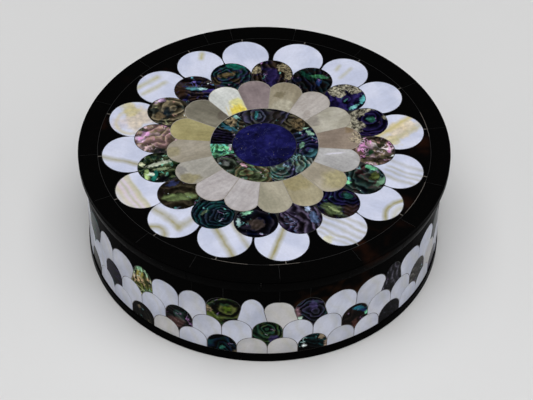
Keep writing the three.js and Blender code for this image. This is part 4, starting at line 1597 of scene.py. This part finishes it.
def hidden_patterns() -> list[dict]:
    """What the abalone tiles round the back share."""
    return [
        {"palette": (NAVY, TEAL, MOSS, SEA), "centre": (0.1, 0.0), "spacing": 0.24, "shine": 0.15,
         "gloom": 0.4},
        {"palette": (INDIGO, (50, 40, 76), NAVY), "centre": (0.2, 0.1), "shine": 0.15},
        {"palette": ((46, 36, 30), SOOT, (58, 52, 48)), "growth": Growth.LAYERS, "axis": 60, "spacing": 0.34,
         "shine": 0.12, "depth": 0.6},
        {"palette": (SOOT, (30, 72, 76), (48, 46, 66)), "growth": Growth.LAYERS, "axis": 110, "spacing": 0.3,
         "shine": 0.2, "depth": 0.6},
    ]  # fmt: skip


@dataclass
class SideFacing:
    """The tiles and bands round the body, in millimetres.

    Args:
        tiles: how many tiles a row has.
        phase: the angle of tile 0 of the lowest and the upper row.
        rise: how far a tile's tip lies above its straight sides.
        tips: heights of the rows' tips.
        base_top: height of the base ring's top.
        base_chamfer: width of the cut on its lower corner.
        base_round: width of the cut on its upper corner.
        base_gap: degrees that a length of it stays short of its joint.
        foot_gap: the gap between it and the lowest tiles.
        bed_depth: how far the setting compound lies below the face.
        bed_rise: how far above the upper row's straight sides the dark compound starts.
        first_stray: the tile before which the uneven joints' list starts.
        strays: how far the upper row's joints stand to the right of even places.
        lifts: how far its joints and tips, by turns, stand above even heights.
        base_joints: angles of the base ring's joints.
        top_spans: how many tiles each piece of the top band spans, from tile 0 on.
        brown_spans: which of those pieces let brown through.
        cream: the yellowish tiles of each row.
    """

    tiles: int = 38
    phase: float = -12.6
    rise: float = 5.0
    tips: tuple[float, float, float] = (11.3, 19.35, 28.85)
    base_top: float = 3.7
    base_chamfer: float = 0.35
    base_round: float = 0.3
    base_gap: float = 0.08
    foot_gap: float = 0.12
    bed_depth: float = 0.09
    bed_rise: float = 1.0
    first_stray: int = -4
    strays: tuple[float, ...] = (0.2, 1.5, -0.3, 0.1, -0.2, 1.4, -1.2, -1.3, -1.2, 0.3, 2.1, -0.8)
    lifts: tuple[float, ...] = (
        0.0, 0.0, 0.4, 0.1, 0.0, -0.5, -0.5, 0.2, 0.1, 0.2, 1.1, 1.2,
        0.5, -0.4, -0.2, 0.3, -0.3, 0.0, -0.3, 0.0, 0.4, 0.3, 0.4, -0.6,
    )  # fmt: skip
    base_joints: tuple[float, ...] = (
        -175.0, -152.0, -128.0, -101.0, -77.0, -52.0, -29.0, -6.5,
        17.0, 41.0, 66.0, 89.0, 114.0, 138.0, 161.0,
    )  # fmt: skip
    top_spans: tuple[int, ...] = (2, 1, 2, 1, 1, 2, 2, 1, 2, 1, 2, 2, 1, 1, 2, 1, 2, 1, 2, 1, 2, 2, 1, 2, 1)
    brown_spans: tuple[int, ...] = (1, 2, 7, 8, 13, 19)
    cream: tuple[tuple[int, ...], ...] = ((-2, 1, 2, 12, -13), (8, -17), (2, 10, 19, -9))

    def pitch(self) -> float:
        """Degrees from tile to tile."""
        return 360 / self.tiles

    def half(self) -> float:
        """Half the width of a tile."""
        return math.radians(self.pitch() / 2) * BODY_RADIUS

    def spring(self, row: int) -> float:
        """The height at which a row's arches start."""
        return self.tips[row] - self.rise

    def between(self, values: Sequence[float], place: float, steps: int) -> float:
        """A value between two neighbours of a list that repeats round the box.

        Args:
            values: the list, whose first value is for the first uneven joint.
            place: where, counted from the joint before tile 0.
            steps: how many values there are to a tile.

        Returns:
            The value there.
        """
        before = math.floor(place)
        first = self.first_stray * steps
        ends = [values[(at - first) % (self.tiles * steps) % len(values)] for at in (before, before + 1)]
        return ends[0] + (ends[1] - ends[0]) * (place - before)

    def lay_unevenly(self, mesh: bmesh.types.BMesh) -> None:
        """Moves the upper row's joints and tips off their places, and with them what lies above."""
        low = self.tips[1]
        spring = self.spring(2)
        for vert in mesh.verts:
            x, y = vert.co.x / (2 * self.half()), vert.co.y
            share = min(max((y - low) / (spring - low), 0.0), 1.0)
            room = min((BODY_TOP - JOINT_UNDER_LID - y) / (BODY_TOP - self.tips[2]), 1.0)
            vert.co.x += (1 - (1 - share) ** 3) * self.between(self.strays, x + 0.5, 1)
            vert.co.y += share * room * self.between(self.lifts, 2 * x + 1, 2)

    def bend(self, mesh: bmesh.types.BMesh, phase: float) -> None:
        """Bends flat work round the body: x goes round, y up and z outwards."""
        for vert in mesh.verts:
            angle = phase + math.degrees(vert.co.x / BODY_RADIUS)
            vert.co = outward(angle, BODY_RADIUS + vert.co.z, vert.co.y)

    def slice(self, mesh: bmesh.types.BMesh, places: Iterable[float]) -> None:
        """Cuts flat work along upright lines, so that it can bend."""
        for place in places:
            geometry = mesh.verts[:] + mesh.edges[:] + mesh.faces[:]
            bmesh.ops.bisect_plane(mesh, geom=geometry, dist=1e-4, plane_co=(place, 0, 0), plane_no=(1, 0, 0))

    def build(self) -> None:
        """Makes the rows from the lowest up, then the bands and the bed."""
        for row, name in enumerate(("lower", "middle", "upper")):
            self.build_row(name, row)
        self.build_top_band()
        self.build_base_ring()
        self.build_bed()

    def build_bed(self) -> None:
        """Makes the setting compound behind the joints: grey behind the tiles, dark behind the band."""
        inner, outer = BODY_RADIUS - FACING, BODY_RADIUS - self.bed_depth
        middle = self.spring(2) + self.bed_rise
        for name, low, high, tone in (
            ("side", self.base_top, middle, (84, 78, 74)), ("band", middle, BODY_TOP, (8, 7, 7)),
        ):  # fmt: skip
            bed = turned(section(inner, outer, low, high), 4 * self.tiles, closed=True)
            shade(bed)
            make_piece(f"{name}_filler", bed, [Filler(f"{name}_filler", tone)])

    def tile_outline(self, row: int) -> Outline:
        """The flat outline of a tile, whose tip is straight above x = 0."""
        half = self.half()
        edge = half - JOINT / 2
        spring = self.spring(row)
        outline = Outline(at_flat(edge, spring))
        outline.arc(at_flat(-edge, spring), at_flat(0, spring), 16)
        if row == 0:
            low = self.base_top + self.foot_gap
            outline.line(at_flat(-edge, low))
            outline.line(at_flat(edge, low))
        else:
            grown = half + JOINT / 2
            below = self.spring(row - 1)
            start = below + math.sqrt(grown**2 - (half - edge) ** 2)
            valley = at_flat(0, below + math.sqrt(grown**2 - half**2))
            outline.line(at_flat(-edge, start))
            outline.arc(valley, at_flat(-half, below), 7, left=False)
            outline.arc(at_flat(edge, start), at_flat(half, below), 7, left=False)
        outline.line(at_flat(edge, spring))
        return outline

    def abalone_finishes(self, row: int) -> tuple[list[Finish], dict[int, int]]:
        """The abalone finishes of a row, and which tile has which."""
        shown = {tile: pattern for (at, tile), pattern in tile_patterns().items() if at == row}
        finishes: list[Finish] = []
        numbers = {}
        for tile, pattern in shown.items():
            finishes.append(Abalone(f"abalone_tile_{row}_{tile + 5}", OwnMap(), **pattern))
            numbers[tile] = len(finishes)
        for number, pattern in enumerate(hidden_patterns()):
            finishes.append(Abalone(f"abalone_back_{number + 1}", OwnMap(), **pattern))
        for tile in range(-(self.tiles // 2) + 1, self.tiles // 2 + 1):
            if tile not in numbers:
                numbers[tile] = len(shown) + 1 + (tile + row) % 4
        return finishes, numbers

    def build_row(self, name: str, row: int) -> None:
        """Makes one row of tiles, in which each third is abalone.

        Args:
            name: the row's name.
            row: its number from the bottom.
        """
        mesh = self.tile_outline(row).plate(-FACING, 0.0)
        self.slice(mesh, (-self.half() / 2, 0.0, self.half() / 2))
        own_map = mesh.loops.layers.uv.new("tile")
        seed = mesh.faces.layers.float.new("tile_seed")
        warmth = mesh.faces.layers.float.new("tile_warmth")
        middle = self.spring(row)
        for face in mesh.faces:
            for loop in face.loops:
                loop[own_map].uv = (loop.vert.co.x / 10, (loop.vert.co.y - middle) / 10)
        geometry = mesh.verts[:] + mesh.edges[:] + mesh.faces[:]
        for index in range(1, self.tiles):
            copy = bmesh.ops.duplicate(mesh, geom=geometry)
            bmesh.ops.translate(mesh, verts=verts_of(copy), vec=(2 * self.half() * index, 0, 0))
        abalone, numbers = self.abalone_finishes(row)
        for face in mesh.faces:
            index = round(face.calc_center_bounds().x / (2 * self.half()))
            tile = index if index <= self.tiles // 2 else index - self.tiles
            shell = tile % 3 == (1 if row == 1 else 0)
            face.material_index = numbers[tile] if shell else 0
            face[seed] = float(index * 7 % self.tiles) + 40 * row
            face[warmth] = 1.0 if tile in self.cream[row] else 0.35 * ((index * 5 + row) % 7) / 7
        if row == 2:
            self.lay_unevenly(mesh)
        self.bend(mesh, self.phase + (self.pitch() / 2 if row == 1 else 0.0))
        shade(mesh)
        pearl = Pearl(
            name="tile_pearl",
            place=OwnMap(),
            base=(180, 185, 203),
            cloud=(200, 204, 220),
            lines=(Streaks(stripes(SAGE, (-0.3, 0.12, 0.12), (0.2, 0.16, 0.2)), axis=20, wander=0.4),),
            grain=20.0,
            warm=(250, 243, 226),
        )
        make_piece(f"{name}_tiles", mesh, [pearl, *abalone], f"tile_row_{name}")

    def build_top_band(self) -> None:
        """Makes the dark pieces above the arches, with seams above some tips."""
        half = self.half()
        grown = half + JOINT / 2
        centre = self.spring(2)
        top = BODY_TOP - JOINT_UNDER_LID
        whole = bmesh.new()
        finishes: list[Finish] = [DarkShell("dark_shell"), DarkShell("brown_top_piece", 0.6, (72, 44, 24))]
        left = 0.0
        for index, span in enumerate(self.top_spans):
            right = left + 2 * half * span
            start, end = left + JOINT / 8, right - JOINT / 8
            outline = Outline(at_flat(end, top))
            outline.line(at_flat(start, top))
            outline.line(at_flat(start, centre + grown))
            for step in range(span):
                a = left + 2 * half * step
                valley = at_flat(a + half, centre + math.sqrt(grown**2 - half**2))
                outline.arc(valley, at_flat(a, centre), 8, left=False)
                last = end if step == span - 1 else a + 2 * half
                outline.arc(at_flat(last, centre + grown), at_flat(a + 2 * half, centre), 8, left=False)
            outline.line(at_flat(end, top))
            part = outline.plate(-FACING, 0.0)
            self.slice(part, [left + half * step / 2 for step in range(1, 4 * span)])
            join(whole, part, 1 if index in self.brown_spans else 0)
            left = right
        self.lay_unevenly(whole)
        self.bend(whole, self.phase)
        shade(whole)
        make_piece("top_band_pieces", whole, finishes, "side_top_band")

    def build_base_ring(self) -> None:
        """Makes the ring round the foot from short lengths."""
        low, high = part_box("base_ring")
        inner, outer, bottom = BODY_RADIUS - FACING, high.x / MM, low.z / MM
        profile = (
            (inner, bottom), (outer - self.base_chamfer, bottom), (outer, bottom + self.base_chamfer),
            (outer, self.base_top - self.base_round), (outer - self.base_round, self.base_top),
            (inner, self.base_top),
        )  # fmt: skip
        whole, finishes = lay_lengths(profile, self.base_joints, self.base_gap, 0.0, {}, "brown_base")
        shade(whole)
        make_piece("base_lengths", whole, finishes, "base_ring")


@dataclass
class Studio:
    """The floor, the lights and the camera, in metres.

    Args:
        lens: the camera's focal length, in millimetres.
        camera_place: where it stands.
        camera_turn: how it is turned, in degrees about x, y and z.
        floor_tone: the floor's colour.
        floor_reach: half the floor's width.
        sky: strength of the even light from all round.
        lights: name, place, aim, width and power of each light.
    """

    lens: float = 125.6
    camera_place: tuple[float, float, float] = (0.0, -0.46735, 0.47193)
    camera_turn: tuple[float, float, float] = (45.648, -0.530, 0.399)
    floor_tone: Colour = (216, 216, 216)
    floor_reach: float = 6.0
    sky: float = 0.09
    lights: tuple[tuple, ...] = (
        ("overhead", (0.0, -0.25, 1.5), (0.0, 0.0, 0.0), 1.6, 24.5),
        ("front", (0.0, -1.7, 0.55), (0.0, 0.0, 0.02), 1.0, 6.0),
        ("left", (-1.5, -0.5, 0.9), (0.0, 0.0, 0.02), 1.2, 2.9),
        ("right", (1.5, -0.5, 0.9), (0.0, 0.0, 0.02), 1.2, 4.1),
    )

    def build(self) -> None:
        """Sets the floor, the lights and the camera."""
        self.add_floor()
        for light in self.lights:
            self.add_light(*light)
        world = bpy.data.worlds.new("studio")
        world.use_nodes = True
        world.node_tree.nodes["Background"].inputs["Color"].default_value = WHITE
        world.node_tree.nodes["Background"].inputs["Strength"].default_value = self.sky
        bpy.context.scene.world = world
        bpy.context.scene.view_settings.view_transform = "Standard"
        self.add_camera()

    def add_floor(self) -> None:
        """Adds the pale floor."""
        mesh = bmesh.new()
        bmesh.ops.create_grid(mesh, x_segments=1, y_segments=1, size=self.floor_reach)
        data = bpy.data.meshes.new("floor")
        mesh.to_mesh(data)
        mesh.free()
        graph = Graph("pale_floor", roughness=0.9)
        at = graph.add("TexCoord", "Object")
        grain = graph.noise(at, 40.0, 1.0)
        grey = (0.5, 0.5, 0.5, 1.0)
        colour = graph.blend(graph.product(grain, 0.02), linear(self.floor_tone), grey)
        data.materials.append(graph.finish(colour))
        floor = bpy.data.objects.new("floor", data)
        bpy.context.scene.collection.objects.link(floor)

    def add_light(
        self,
        name: str,
        place: tuple[float, float, float],
        aim: tuple[float, float, float],
        size: float,
        power: float,
    ) -> None:
        """Adds a soft square light that faces a point."""
        data = bpy.data.lights.new(name, "AREA")
        data.size = size
        data.energy = power
        light = bpy.data.objects.new(name, data)
        light.location = place
        light.rotation_euler = (Vector(aim) - Vector(place)).to_track_quat("-Z", "Y").to_euler()
        bpy.context.scene.collection.objects.link(light)

    def add_camera(self) -> None:
        """Adds the camera at the photograph's angle."""
        data = bpy.data.cameras.new("camera")
        data.sensor_width = 36.0
        data.lens = self.lens
        data.clip_start = 0.01
        camera = bpy.data.objects.new("camera", data)
        camera.location = self.camera_place
        camera.rotation_euler = Euler([math.radians(a) for a in self.camera_turn])
        bpy.context.scene.collection.objects.link(camera)
        bpy.context.scene.camera = camera


def main() -> None:
    """Builds the box in its studio."""
    logging.basicConfig(level=logging.INFO, format="%(message)s")
    Studio().build()
    flower = Flower()
    Bowl().build()
    SideFacing().build()
    LidCore().build()
    LidGround(flower).build()
    flower.build()


if __name__ == "__main__":
    main()
